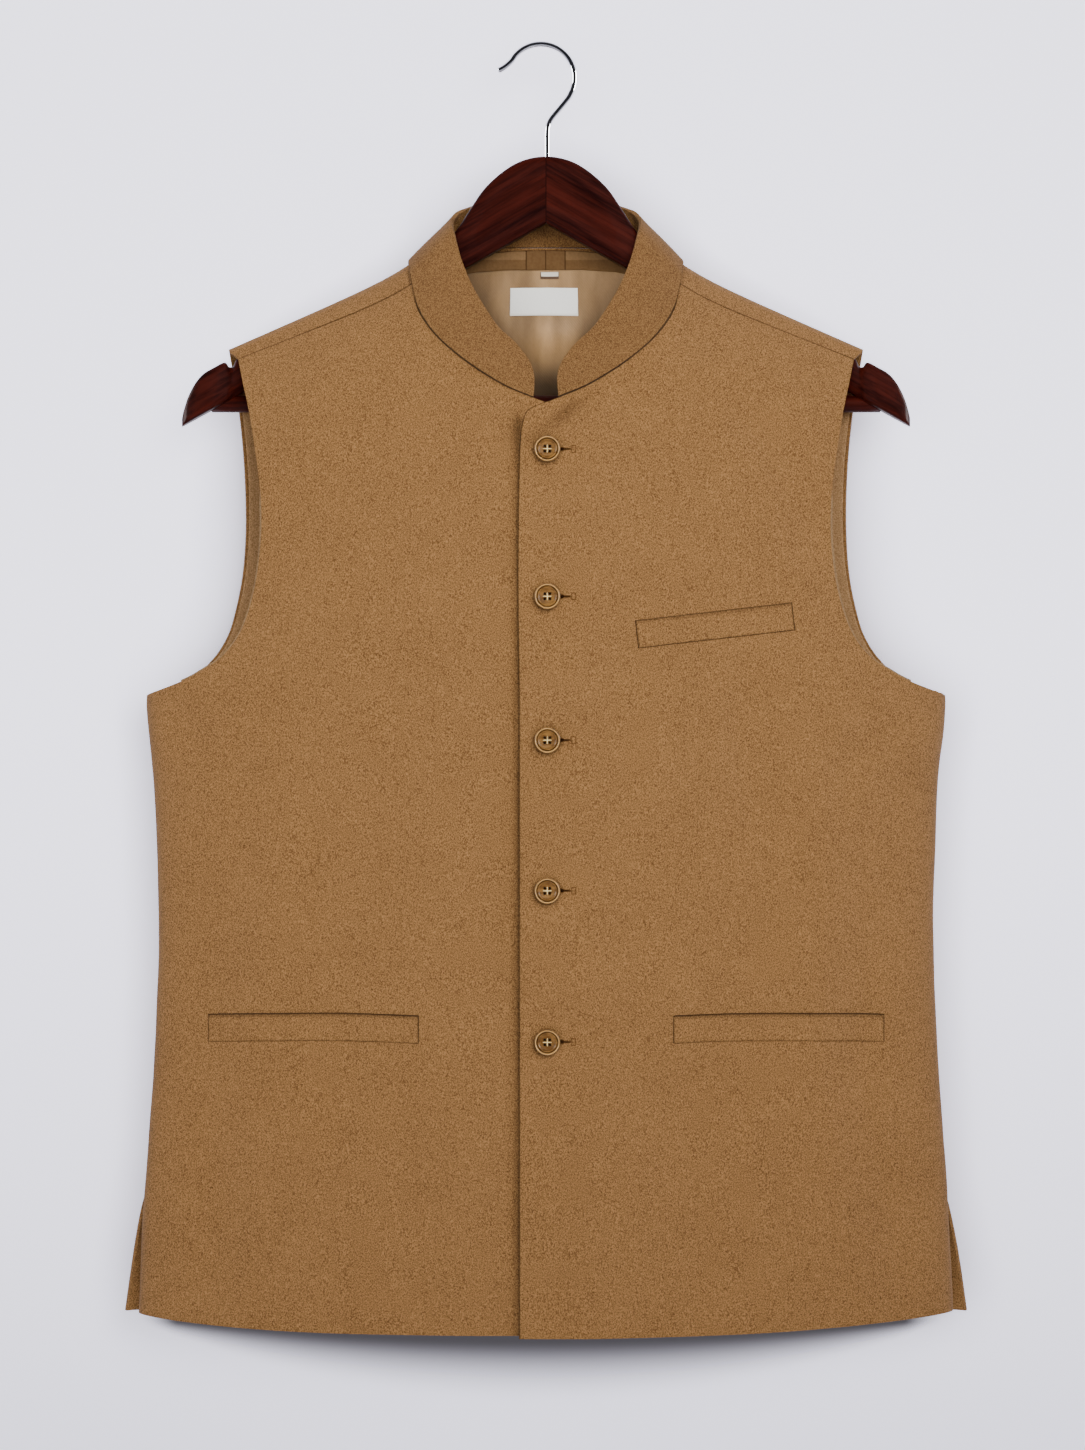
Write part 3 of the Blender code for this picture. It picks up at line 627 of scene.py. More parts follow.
def front(name, surface, hem, side):
    """One front. side is 1 on the wearer's left and -1 on the right.

    The left one is dimpled under its buttons, with a painted shadow a little down and to the left of each and
    painted shade in its crease by the collar; the right one has a painted shadow where the other laps it."""
    xz = by_the_edge(front_outline(hem, count=96, low_rows=118, high_rows=92), 0, 0.78)
    xz = by_the_edge(xz[:, ::-1], 1, 0.62)[:, ::-1]
    x, z = xz[..., 0], xz[..., 1]
    height = hang(x, z, side) - WELT_BED_DEPTH * welt_bed(x, z, HIP_WELT)
    if side > 0:
        height += dimples(x, z) - WELT_BED_DEPTH * welt_bed(x, z, CHEST_WELT)
    grid = raised(on_surface(xz, surface), height)
    mark = np.zeros_like(x)
    # Painted shade along the shoulder seam and the lap edge.
    mark[-1] = SHOULDER_SEAM_SHADE
    mark[:, 0] = LAP_EDGE_SHADE
    if side > 0:
        # Painted shade in the crease by the collar, and a painted shadow a little down and to the left of each
        # button.
        mark += 0.13 * np.clip(-creased(x, z, LEFT_CREASES[:1]), 0, 3)
        for button_z in BUTTON_Z:
            mark += 0.55 * bell(np.hypot(x - BUTTON_X + 1.3, z - button_z + 0.9), 9.4, 8)
    else:
        # A painted shadow beside the lap edge, wider near the top of the lap.
        under_lap = x > LAP_SHADE_X - 4.6
        mark += 0.50 * bell(x - LAP_SHADE_X, 3.4) * under_lap * step((-z - 163) / 10)
        mark += 0.20 * bell(x - LAP_SHADE_X, 6.5) * under_lap * bell(z + 178, 14)
        grid, mark = mirrored(grid), mark[:, ::-1]
    made = thicken(surface_mesh(name + "_cloth", FLANNEL, grid, painted_shadings=[mark]), CLOTH)
    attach(made, "root")
    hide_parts(name)


front("front_left", over_front_y, LEFT_HEM, side=1)
front("front_right", front_y, RIGHT_HEM, side=-1)


# ---- The back: the same flannel in one piece from side to side, vented at both sides of the hem.
# It comes over the shoulders to the forward seams, so the shoulder line itself has none.

BACK_HEM_Z = -736.0
BACK_ARMHOLE = (
    (254.3, -343), (229, -333), (214.5, -320), (206, -307.4), (201, -294), (195.5, -269),
    (193, -243), (192.7, -217.5), (193.8, -191.8), (196, -166), (198.6, -146), (199.8, -135.2),
)
BACK_NECK = ((0.0, -55.0), (24.0, -55.6), (46.0, -58.0), (67.0, -63.6))
BACK_CREASES = crease_table(
    (112, -205, 34, -60, 90, 20, -2), (-118, -210, -30, -64, 90, 20, -1.8),
    (74, -190, 20, -70, 80, 17, 1.1), (-66, -200, -16, -70, 90, 18, 1.2),
    (96, -520, 8, -100, 190, 28, -2.6), (-84, -500, -12, -100, 180, 27, -2.4),
    (150, -560, -6, -100, 160, 24, 1.7), (-152, -540, 8, -100, 170, 24, 1.8),
    (12, -480, 3, -100, 190, 30, -1.5), (-30, -610, 5, -100, 120, 22, 1.4),
    (206, -590, 10, -100, 130, 18, -2), (-208, -600, -8, -100, 130, 18, -2),
    (214, -368, -34, -16, 38, 11, -1.4), (-216, -370, 34, -18, 38, 11, -1.4),
    (40, -118, 60, -14, 60, 12, -1.1), (-44, -120, -60, -16, 60, 12, -1),
    (150, -165, 50, -26, 44, 12, -0.9), (-152, -168, -50, -26, 44, 12, -0.9),
)


def vent(z):
    """0 above the vents' tops and 1 at the back hem."""
    return np.clip((VENT_TOP_Z - z) / (VENT_TOP_Z - VENT_BOTTOM_Z), 0, 1)


def back_width(z):
    """The back's half width: the body's, and below the vents' tops a flare that eases off to the hem."""
    return body(1, z) + BACK_FLARE * vent(z) ** 0.75


def back_y(x, z):
    reach = back_width(z) * (1 + VENT_UNCURL * vent(z))
    return sweep(x, z) + body(3, z) * across_body(x, reach) * shoulder(x, z) + seam_plane(z)


def back_half(count, low_rows, high_rows, wrap_rows, neck_drop=0.0):
    """Half the back, from its centre to its side and from the hem over the ridge to the forward seam.

    Gives its grid, and how many of its rows lie below the shoulder's wrap."""
    shares = around_body(count)
    wraps = [shoulder_row(row, shares) for row in SHOULDER_ROWS]
    centre_rows = int(high_rows * 0.8)
    edge = np.array((*BACK_NECK[:-1], wraps[0][0]))
    edge[:-1, 1] -= neck_drop
    up_centre = np.stack([np.zeros(centre_rows), np.linspace(UNDERARM_Z, edge[0, 1], centre_rows)], axis=1)
    neck = smooth_path(edge, high_rows - centre_rows + 1)
    armhole = np.array(BACK_ARMHOLE)
    armhole[-1] = wraps[0][-1]
    inner, outer = np.concatenate([up_centre, neck[1:]]), smooth_path(armhole, high_rows)
    upper = between_edges(inner, outer, wraps[0], shares)
    z = np.linspace(BACK_HEM_Z, UNDERARM_Z, low_rows)[:-1, None] + 0 * shares
    flat_part = np.concatenate([np.dstack([back_width(z) * shares, z]), upper])
    rows = [on_surface(xz[None], front_y if row.front else back_y)[0] for xz, row in zip(wraps, SHOULDER_ROWS)]
    over = along(np.stack(rows).reshape(len(rows), -1), np.linspace(0, len(rows) - 1, wrap_rows)[1:])
    half = np.concatenate([on_surface(flat_part, back_y), over.reshape(wrap_rows - 1, count, 3)])
    return half, len(flat_part)


def back_creased(half, flat_rows):
    """Both halves with the back's creases, which fade out over the shoulder's wrap."""
    halves = []
    fade = np.concatenate([np.ones(flat_rows), np.linspace(1, 0, len(half) - flat_rows)])[:, None]
    for grid in (half[:, ::-1], half * (-1, 1, 1)):
        x, z = grid[..., 0], grid[..., 2]
        height = (creased(x, z, BACK_CREASES) + undulation(x, z, 5)) * fade * shoulder(x, z) ** 0.5
        grid = raised(grid, height)
        grid[np.abs(x) < 1e-6, 0] = 0
        halves.append(grid)
    return halves


half, flat_rows = back_half(count=92, low_rows=104, high_rows=84, wrap_rows=26)
half = by_the_edge(half, 0, 0.6)
seam = np.zeros(half.shape[:2])
# Painted shade along the forward shoulder seams.
seam[-1] = SHOULDER_SEAM_SHADE
back = thicken(surface_mesh("back_cloth", FLANNEL, *back_creased(half, flat_rows), painted_shadings=[seam, seam]), CLOTH)
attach(back, "root")
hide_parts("back")


# ---- The stand collar: two layers of flannel over a stiff interlining, seamed to the neck.
# Its front ends are cut back to a round corner and stand a finger's width apart.

COLLAR_CLOTH = 2.6
COLLAR_BULGE = 0.5
COLLAR_OFF_SEAM = 0.25
COLLAR_CORNER = 0.45
COLLAR_FRONT = ((8.0, -156.6), (27.0, -148.5), (49.0, -134.8), (68.0, -118.5), (80.0, -101.0))
COLLAR_TOP = (
    (6.5, -32.5, -139), (19, -30, -122.5), (30.5, -27.5, -111.5), (41, -24.5, -95.5),
    (48.5, -19.5, -81), (54, -15.5, -65.5), (57.8, -11.5, -50), (58.8, -1, -41.6),
    (55.5, 8, -35.5), (49, 13.5, -31), (36, 18.5, -25.5), (19, 21.5, -21.5), (0, 22.5, -20),
)


def neck_seam(surface):
    """Points of the neck seam on one side, from the collar's front end to the centre back."""
    tail = [on_surface(shoulder_row(row, np.zeros(1))[None], front_y if row.front else back_y)[0]
            for row in SHOULDER_ROWS]
    behind = on_surface(np.array(BACK_NECK[2::-1])[None], back_y)[0]
    before = on_surface(np.array(COLLAR_FRONT)[None], surface)[0]
    return np.concatenate([before, tail[6], tail[5], tail[3], tail[1], tail[0], behind])


def collar_half(surface, steps, rows):
    """A band from the seam to the top edge: low + rise · (high - low), bulged, its first part drawn in."""
    rise = np.linspace(0, 1, rows)[:, None]
    t = np.linspace(0, len(COLLAR_TOP) - 1, steps)[None]
    drawn = COLLAR_CORNER * (1 - np.sqrt(1 - rise**4))
    t = t + drawn * np.clip(1 - t, 0, 1)
    low, high = along(neck_seam(surface), t), along(COLLAR_TOP, t)
    off_seam = COLLAR_OFF_SEAM * unit(high - low)
    band = low + off_seam + rise[..., None] * (high - low - off_seam)
    return raised(band, 4 * rise * (1 - rise) * COLLAR_BULGE)


# A darker copy of the fronts' flannel: the collar's shade is painted into its colour.
DARKER_COLLAR_FLANNEL = wool_flannel("collar_flannel_painted_darker", (0.050, 0.0222, 0.0063), (0.199, 0.1025, 0.0368))

left_band, right_band = collar_half(over_front_y, 157, 18), collar_half(front_y, 157, 18)
grid = np.concatenate([right_band[:, :-1] * (-1, 1, 1), left_band[:, ::-1]], axis=1)
grid = raised(grid, 0.5 * undulation(grid[..., 0] * 2, grid[..., 2] * 2, 9))
grid = by_the_edge(grid[::-1], 0, 0.7)[::-1]
seam = np.zeros(grid.shape[:2])
# Painted shade along the neck seam.
seam[0] = COLLAR_SEAM_SHADE
collar = surface_mesh("collar_cloth", DARKER_COLLAR_FLANNEL, grid, painted_shadings=[seam])
thicken(collar, COLLAR_CLOTH, 1.15, segments=3)
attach(collar, "root")
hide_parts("collar")


# ---- The lining: thin taupe satin in a back and two fronts, felled to the flannel inside.
# It is cut a little full, so it lies in soft upright folds and stops short of the hem.

LAYER = CLOTH + 1.05
LINING = 0.9
LINING_HEM = 17.0
FOLD = 2.1


def satin():
    """Woven acetate: a smooth sheen, a faint twill line, colour that drifts slightly with the folds, and
    painted shade in the folds' hollows and round the neck.
    """
    cloth = Finish("taupe_satin")
    dark, light = (0.198, 0.111, 0.0433), (0.461, 0.270, 0.1155)
    twill = (cloth.part(cloth.place(turn=(0, 0.7, 0)), 0) * 5200.0).wave()
    drift = cloth.noise(cloth.place((1.0, 1.0, 0.25)), 70)
    fine = cloth.noise(cloth.place((1.0, 1.0, 0.4)), 1100)
    tone = cloth.blend(drift.between(0.3, 0.7) * 0.7 + fine * 0.3, dark, light)
    # Painted shade in the folds' hollows and round the neck opening.
    tone = cloth.blend(cloth.mark(), tone, times(dark, 0.25))
    weave = cloth.bump(twill * 0.5 + fine, 0.00006, 0.5)
    return cloth.surface(Base_Color=tone, Roughness=0.38, Normal=weave, Specular_IOR_Level=0.35,
                         Sheen_Weight=0.1)


SATIN = satin()


def folds(x, z, seed):
    """How far the satin stands in: upright ripples of uneven width, |sin| rounded off, from 0 to about 2 mm.

    It is pressed nearly flat round the label and the tab."""
    bend = x / 8.4 + 1.3 * np.sin(x / 31.0 + seed)
    bend = bend + 0.5 * np.sin(z / 55.0 + seed * 2) + 0.25 * np.sin(z / 21.0)
    depth = 0.5 + 0.5 * np.sin(x / 23.0 + z / 90.0 + seed)
    free = step((np.maximum(np.abs(x + 1.3) / 30, np.abs(z + 84) / 20) - 0.85) / 0.4)
    return FOLD * depth * (0.5 + 0.5 * np.sin(bend)) ** 1.8 * (0.12 + 0.88 * free)


def line_with(name, node, grids, depth, seed):
    """A lining from some of its panel's own points, set in by its folds, with painted shade in their hollows.

    The back one also has painted shade by the collar on both sides of the neck, and deep painted shade at the
    neck's bottom."""
    sunk, shades = [], []
    for grid in grids:
        x, z = grid[..., 0], grid[..., 2]
        fold = folds(x, z, seed)
        inner = raised(grid, -fold)
        inner[np.abs(x) < 1e-6, 0] = 0
        sunk.append(inner)
        # Painted shade in the folds' hollows.
        shade = 0.44 * (1 - fold / FOLD) ** 5
        if node == "lining_back":
            painted_shade_at_neck_bottom = 0.95 * step((-z - 114) / 30) * step((z + 260) / 60) * bell(x, 40)
            painted_shade_by_collar = 0.34 * step((np.abs(x) - 42 + 0.72 * (-z - 70)) / 18) * step((z + 150) / 30)
            shade = np.maximum(shade + painted_shade_by_collar, painted_shade_at_neck_bottom)
        shades.append(shade)
    made = thicken(surface_mesh(name, SATIN, *sunk, painted_shadings=shades), LINING, 0.0, depth)
    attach(made, "root")
    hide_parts(node)


def rows_below(hem_z, rows):
    """How many of the rows from this hem to underarm height the lining leaves bare."""
    return int(LINING_HEM / (UNDERARM_Z - hem_z) * rows) + 1


half, flat_rows = back_half(count=80, low_rows=84, high_rows=70, wrap_rows=26, neck_drop=4.0)
half = half[rows_below(BACK_HEM_Z, 84) : flat_rows]
left_half, right_half = back_creased(half, len(half))
line_with("back_lining", "lining_back", (left_half[:, 5:], right_half[:, :-5]),
          depth=LAYER, seed=1.0)
for side, word, surface, hem in ((1, "left", over_front_y, LEFT_HEM), (-1, "right", front_y, RIGHT_HEM)):
    xz = front_outline(hem, count=80, low_rows=96, high_rows=76)
    grid = raised(on_surface(xz, surface), hang(xz[..., 0], xz[..., 1], side))
    grid = grid[rows_below(hem.centre, 96) : -2, 15:-4]
    line_with(f"front_{word}_lining", f"lining_front_{word}", (grid if side > 0 else mirrored(grid),),
              depth=LAYER + 0.6, seed=2.0 + side)


# ---- Armhole facings: bias strips that finish the armholes, brown ones in the back, pale ones in the fronts.
# Each follows its armhole just inside the edge, and the front ones roll out past it by a hair.

FACING_CLOTH = 1.0
BROWN_FACING = wool_flannel("brown_facing", (0.13, 0.068, 0.028), (0.34, 0.20, 0.092))
PALE_FACING = wool_flannel("pale_facing", (0.11, 0.068, 0.032), (0.25, 0.158, 0.077))


def armhole_facing(name, edge, surface, side, inside, outside, depth, finish, along_part, faces_back):
    """A strip along part of an armhole: its curve in (x, z), moved sideways from -inside to outside.

    Towards the shoulder a strip that stands out past its armhole draws back behind the edge."""
    path = smooth_path(edge, 240)
    path = path[int(along_part[0] * 239) : int(along_part[1] * 239)]
    way = unit(np.gradient(path, axis=0))
    outwards = np.stack([way[:, 1], -way[:, 0]], axis=1)
    drawn = 3.5 * step((path[:, 1] + 225) / 30) if outside > 0 else np.zeros(len(path))
    across = -inside + (inside + outside - drawn[:, None]) * np.linspace(0, 1, 9)
    xz = path[:, None] + across[..., None] * outwards[:, None]
    grid = on_surface(xz, surface) * (side, 1, 1)
    if faces_back != (side < 0):
        grid = grid[:, ::-1]
    made = thicken(surface_mesh(name, finish, grid), FACING_CLOTH, 0.3, depth)
    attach(made, "root")
    length = float(lengths_along(grid[:, 4])[-1]) * 0.001


for side, word in ((1, "left"), (-1, "right")):
    armhole_facing(f"armhole_facing_front_{word}", FRONT_ARMHOLE, front_y, side, inside=20.0, outside=1.7,
                   depth=CLOTH + 0.15, finish=PALE_FACING, along_part=(0.10, 0.93), faces_back=False)
    armhole_facing(f"armhole_facing_back_{word}", BACK_ARMHOLE, back_y, side, inside=18.0, outside=-0.8,
                   depth=LAYER + LINING + 0.3, finish=BROWN_FACING, along_part=(0.10, 0.95), faces_back=True)


# ---- Inside the back neck: a strip of brown facing under the seam, a bare woven label and a small bare tab.

FACING_DROP, FACING_HALF_WIDTH, FACING_RISE = 13.0, 62.0, 0.04
ON_LINING = LAYER + LINING + 0.7
PATCH_THICK = 0.7
Patch = namedtuple("Patch", "x z width height")
LABEL, TAB = Patch(-1.3, -89.1, 44.6, 17.9), Patch(2.4, -72.2, 12.7, 4.4)


def millimetres(cloth, x=0.0, z=0.0):
    """How far a point of a finish is across and up from (x, z), in the millimetres of the sizes here."""
    place = cloth.place()
    return [cloth.part(place, axis) * 1000.0 - (CROWN_TOP[axis] + start) for axis, start in ((0, x), (2, z))]


def facing_finish():
    """Brushed flannel: darker in the middle block, paler in the upper half of each side, seamed between, with
    painted shade along the seams and along the top edge.
    """
    cloth = Finish("neck_facing_flannel")
    x, z = millimetres(cloth)
    nap = cloth.noise(cloth.place(), 600, 3.0, 0.6)
    cloud = cloth.noise(cloth.place(), 120)
    from_middle = abs(x + 0.2)
    side = from_middle.between(12.2, 12.9)
    upper = (z + abs(x) * 0.02).between(-63.5, -62.6)
    seams = 1.0 - abs(from_middle - 12.5).between(0.25, 0.6) * from_middle.between(0.2, 0.5)
    mix = nap * 0.7 + cloud * 0.3
    dark = cloth.blend(mix, (0.060, 0.029, 0.0105), (0.130, 0.072, 0.030))
    pale = cloth.blend(mix, (0.085, 0.045, 0.018), (0.19, 0.112, 0.050))
    tone = cloth.blend(side * upper, dark, pale)
    # Painted shade along the seams between the blocks and along the top edge under the collar.
    tone = cloth.blend(seams * 0.75 + cloth.mark(), tone, (0.03, 0.013, 0.005))
    return cloth.surface(Base_Color=tone, Roughness=0.9, Specular_IOR_Level=0.05,
                         Normal=cloth.bump(nap - seams * 0.8, 0.0004, 0.5))


# The strip under the collar's seam: straight across at the top, and rising a little at both ends below.
x = FACING_HALF_WIDTH * np.linspace(1, -1, 90)
top = np.interp(np.abs(x), *np.array(BACK_NECK).T) - 0.8
bottom = top - FACING_DROP + FACING_RISE * np.abs(x)
z = bottom + (top - bottom) * np.linspace(0, 1, 12)[:, None]
grid = by_the_edge(on_surface(np.dstack([x + 0 * z, z]), back_y), 0, 0.4)
seam = np.zeros(grid.shape[:2])
# Painted shade along the top, where the strip meets the collar.
seam[-1] = FACING_SEAM_SHADE
neck_facing = surface_mesh("neck_facing_strip", facing_finish(), grid, painted_shadings=[seam])
thicken(neck_facing, LINING, 0.3, ON_LINING)
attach(neck_facing, "root")
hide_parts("neck_facing")


def ribbon(name, patch, ground, border, width):
    """Woven satin ribbon with a plain border of this width, in the colours of its ground and its border."""
    cloth = Finish(name)
    inside = 1.0
    for far, size in zip(millimetres(cloth, patch.x, patch.z), (patch.width, patch.height)):
        edge = size / 2 - width
        inside = (1.0 - abs(far).between(edge - 0.15, edge + 0.15)) * inside
    threads = cloth.noise(cloth.place((0.25, 1.0, 1.0)), 2600)
    tone = cloth.blend(inside, border, cloth.blend(threads, times(ground, 0.9), ground))
    return cloth.surface(Base_Color=tone, Roughness=0.55, Normal=cloth.bump(threads, 0.00005, 0.4),
                         Sheen_Weight=0.1)


LABEL_SATIN = ribbon("label_satin", LABEL, (0.80, 0.78, 0.72), (0.70, 0.66, 0.58), 0.9)
TAB_SATIN = ribbon("tab_satin", TAB, (0.60, 0.54, 0.44), (0.07, 0.038, 0.022), 0.85)
for node, patch, finish in (("neck_label", LABEL, LABEL_SATIN), ("size_tab", TAB, TAB_SATIN)):
    x = patch.x + patch.width * np.linspace(0.5, -0.5, 46)
    z = patch.z + patch.height * np.linspace(-0.5, 0.5, 20)
    grid = on_surface(np.dstack(np.meshgrid(x, z)), back_y)
    made = thicken(surface_mesh(node + "_ribbon", finish, grid), PATCH_THICK, 0.2, ON_LINING)
    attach(made, "root")
    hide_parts(node)
    cut = (patch.width * 0.001 + 0.004, max(patch.height * 0.001 + 0.004, 0.01))
    filled = 0.9 * max(0.5, 1.2 * patch.height / 1000 / cut[1])
    filled * cut[0] * cut[1]


# ---- The pocket welts: strips of flannel folded double, let into the fronts almost flush with them.
# The ends and the lower edge are sewn down all round, and the upper edge of the hip ones stays open.

WELT_CLOTH = 1.9
WELT_STAND = 0.4


def spaced(length, count):
    """Distances from 0 to length: close together at both ends for the seam line, and even between them."""
    ends = np.array([0.0, 0.35, 0.7, 1.1, 1.5, 1.9, 2.3, 2.7])
    return np.concatenate([ends, np.linspace(2.7, length - 2.7, count)[1:-1], length - ends[::-1]])


def welt_strip(name, node, welt, surface, side, lines):
    """The welt's strip between its ends: straight, bowed up by 4·s·(1 - s), just off the creased front.

    lines holds how deep the painted shade along its seam is at the bottom, at the top and at the ends."""
    inner, way, span = welt_line(welt)
    run, rise = spaced(span, 90)[None], spaced(WELT_HEIGHT, 16)[:, None]
    share = run / span
    up = np.array([-way[1], way[0]])
    xz = inner + way * run[..., None] + up * (rise - WELT_HEIGHT / 2)[..., None]
    xz[..., 1] += welt.bow * 4 * share * (1 - share)
    x, z = xz[..., 0], xz[..., 1]
    from_top, from_end = WELT_HEIGHT - rise, np.minimum(run, span - run)
    open_edge = bell(from_top, 2.2) * np.sin(math.pi * share) ** 0.5
    crest = 0.16 * bell(from_top - 2.4, 0.8) * step((from_end - 8) / 12)
    height = hang(x, z, side) + WELT_STAND - (0.25 * open_edge + crest) * lines[1]
    grid = raised(on_surface(xz, surface), height)
    # Painted shade along the open top edge and along the seams at the bottom and the ends.
    top = lines[1] * (bell(from_top, 1.25) + 0.35 * bell(from_top - 2.1, 0.4))
    mark = np.maximum(np.maximum(lines[0] * bell(rise, 0.65), top), lines[2] * bell(from_end, 0.8))
    if side < 0:
        grid, mark = mirrored(grid), mark[:, ::-1]
    made = thicken(surface_mesh(name, FLANNEL, grid, painted_shadings=[mark]), WELT_CLOTH, 0.5)
    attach(made, "root")
    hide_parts(node)
    length = span * 0.001 + 0.02
    length * 0.020


welt_strip("chest_welt_strip", "chest_welt", CHEST_WELT, over_front_y, 1, (0.9, 0.75, 1.0))
welt_strip("hip_welt_left", "pocket_welt_left", HIP_WELT, over_front_y, 1, (0.6, 1.0, 0.9))
welt_strip("hip_welt_right", "pocket_welt_right", HIP_WELT, front_y, -1, (0.6, 1.0, 0.9))


# ---- Five horn buttons, turned with a rounded rim and a dished middle, sewn on through four holes.
# Each passes a keyhole buttonhole worked in matching thread, with a bar tack at its far end.

BUTTON_STAND = 0.7
HOLE_AT, HOLE_RADIUS, HOLE_DEPTH = 1.6, 0.6, 1.25
DISH_EDGE, GROOVE, RIM = 5.0, 6.45, 7.35
THREAD_RADIUS, CORD_RADIUS = 0.18, 0.24
EYE_X, SLIT_LENGTH, TACK_X, TACK_HALF = 8.2, 7.0, 17.4, (1.25, 2.1)


def horn():
    """Polished tan horn: faint streaks, a painted highlight on the rim, and painted shade in the turned groove
    inside it and in the holes.
    """
    cloth = Finish("tan_horn")
    streaks = cloth.noise(cloth.place((1.0, 1.0, 3.0), (0, 0.5, 0)), 160, 3.0, 0.6)
    tone = cloth.blend(streaks.between(0.3, 0.7), (0.085, 0.036, 0.0080), (0.180, 0.088, 0.021))
    # A painted highlight on the rim where the shares are below 0, and painted shade in the holes and grooves
    # above 0.
    tone = cloth.blend(cloth.mark().between(0.0, -0.8), tone, (0.44, 0.250, 0.088))
    tone = cloth.blend(cloth.mark().between(0.0, 1.0), tone, (0.010, 0.005, 0.002))
    return cloth.surface(Base_Color=tone, Roughness=0.3, Specular_IOR_Level=0.14, Coat_Weight=0.06,
                         Coat_Roughness=0.12)


def thread_finish(name, dark, light, sheen=0.1):
    cloth = Finish(name)
    fibres = cloth.noise(cloth.place(), 3000)
    return cloth.surface(Base_Color=cloth.blend(fibres, dark, light), Roughness=0.8, Sheen_Weight=sheen,
                         Specular_IOR_Level=sheen)


HORN = horn()
CREAM_THREAD = thread_finish("cream_thread", (0.50, 0.36, 0.14), (0.80, 0.63, 0.29))
TAN_THREAD = thread_finish("tan_thread", (0.040, 0.017, 0.005), (0.10, 0.048, 0.017), 0.0)
# Near-black for the buttonholes' openings, which paints their shade.
BUTTONHOLE_PAINTED_SHADE = thread_finish("buttonhole_painted_shade", (0.010, 0.004, 0.001), (0.022, 0.009, 0.003), 0.0)


def turned_shell(name, finish, *grids, painted_shadings=None):
    """A surface_mesh of closed rings, with doubled points merged and its faces turned outwards."""
    made = surface_mesh(name, finish, *grids, ring=True, painted_shadings=painted_shadings)
    shell = bmesh.new()
    shell.from_mesh(made.data)
    bmesh.ops.remove_doubles(shell, verts=shell.verts, dist=0.000005)
    bmesh.ops.recalc_face_normals(shell, faces=shell.faces)
    shell.to_mesh(made.data)
    shell.free()
    return made


def around(count):
    """Angles round a full turn, evenly spaced."""
    return np.linspace(0, tau, count, endpoint=False)


def tube(path, radius, sides, closed=False):
    """Circles carried square to a path, which ends in a point at both ends unless it is closed."""
    path, radius = np.asarray(path), np.broadcast_to(radius, len(path))
    if closed:
        way = np.roll(path, -1, 0) - np.roll(path, 1, 0)
    else:
        path, radius = np.concatenate([path[:1], path, path[-1:]]), np.pad(radius, 1)
        way = np.gradient(path, axis=0)
    side = unit(np.cross(way, (0.0, -1.0, 0.0)))[:, None]
    up = unit(np.cross(side, way[:, None]))
    turn = around(sides)[:, None]
    rings = path[:, None] + radius[:, None, None] * (np.cos(turn) * side + np.sin(turn) * up)
    return np.concatenate([rings, rings[:1]]) if closed else rings


def thread(name, paths, finish, radius, closed=False):
    """Threads along paths, drawn in towards their ends where they dive into the cloth."""
    taper = 1.0 if closed else np.sin(np.linspace(0.12, math.pi - 0.12, len(paths[0]))) ** 0.4
    made = turned_shell(name, finish, *(tube(path, radius * taper, 8, closed) for path in paths))
    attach(made, "root")


# Radius and height of the turned profile, from the middle over the rim to the flat back.
TURNED = (
    (0, 1.45), (2, 1.45), (3.6, 1.5), (4.9, 1.72), (5.5, 2.15), (5.85, 2.32), (6.15, 2.18), (6.45, 2),
    (6.75, 2.2), (7.1, 2.85), (7.5, 3.15), (7.9, 3), (8.15, 2.5), (8.2, 1.9), (7.95, 1.2), (7.4, 0.8),
    (5.5, 0.3), (0, 0),
)


def button(number, z):
    """The profile turned about its axis, with four sunk holes, leaning as the front does, and its threads.

    Its shares are above 0 for painted shade in the holes, the grooves and at the dish's edge, and below 0 for
    a painted highlight on the rim."""
    profile = along(TURNED, np.linspace(0, len(TURNED) - 1, 120))
    profile[[0, -1], 0] = 0.0
    turn = around(72)[None]
    radius, height = profile[:, :1], profile[:, 1:]
    across, up = radius * np.cos(turn), radius * np.sin(turn)
    far = np.hypot(np.abs(across) - HOLE_AT, np.abs(up) - HOLE_AT)
    on_top = np.arange(len(profile))[:, None] < 60
    height = height - np.where(on_top, HOLE_DEPTH * (1 - step((far - HOLE_RADIUS) / 0.4)), 0)
    mark = np.where(on_top, 1 - step((far - HOLE_RADIUS - 0.1) / 0.4), 0)
    mark += 0.75 * bell(radius - GROOVE, 0.32) - 0.8 * bell(radius - RIM, 0.34)
    mark += 0.3 * bell(radius - DISH_EDGE, 0.3)
    low, high = (float(over_front_y(BUTTON_X, z + away)) for away in (-4.0, 4.0))
    lean = math.atan2(high - low, 8.0)
    y = -height * math.cos(lean) + up * math.sin(lean)
    rise = up * math.cos(lean) + height * math.sin(lean)
    base = float(over_front_y(BUTTON_X, z)) - BUTTON_STAND
    grid = np.dstack([BUTTON_X + across, base + y, z + rise])
    made = turned_shell(f"horn_button_{number}", HORN, grid, painted_shadings=[mark])
    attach(made, "root")
    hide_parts(f"button_{number}")
    s = np.linspace(-1, 1, 15)
    lift = base - 1.62 - 0.5 * (1 - s**4)
    strands = []
    for shift in (-0.15, 0.15):
        strands += [np.stack([BUTTON_X + 2.8 * s, lift, z + shift + 0 * s], axis=1),
                    np.stack([BUTTON_X + shift + 0 * s, lift - 0.25, z + 2.5 * s], axis=1)]
    thread(f"button_thread_{number}", strands, CREAM_THREAD, THREAD_RADIUS)


def lap_y(x, z):
    """The lapping front's face with its dimples."""
    return over_front_y(x, z) - hang(x, z, 1) - dimples(x, z)


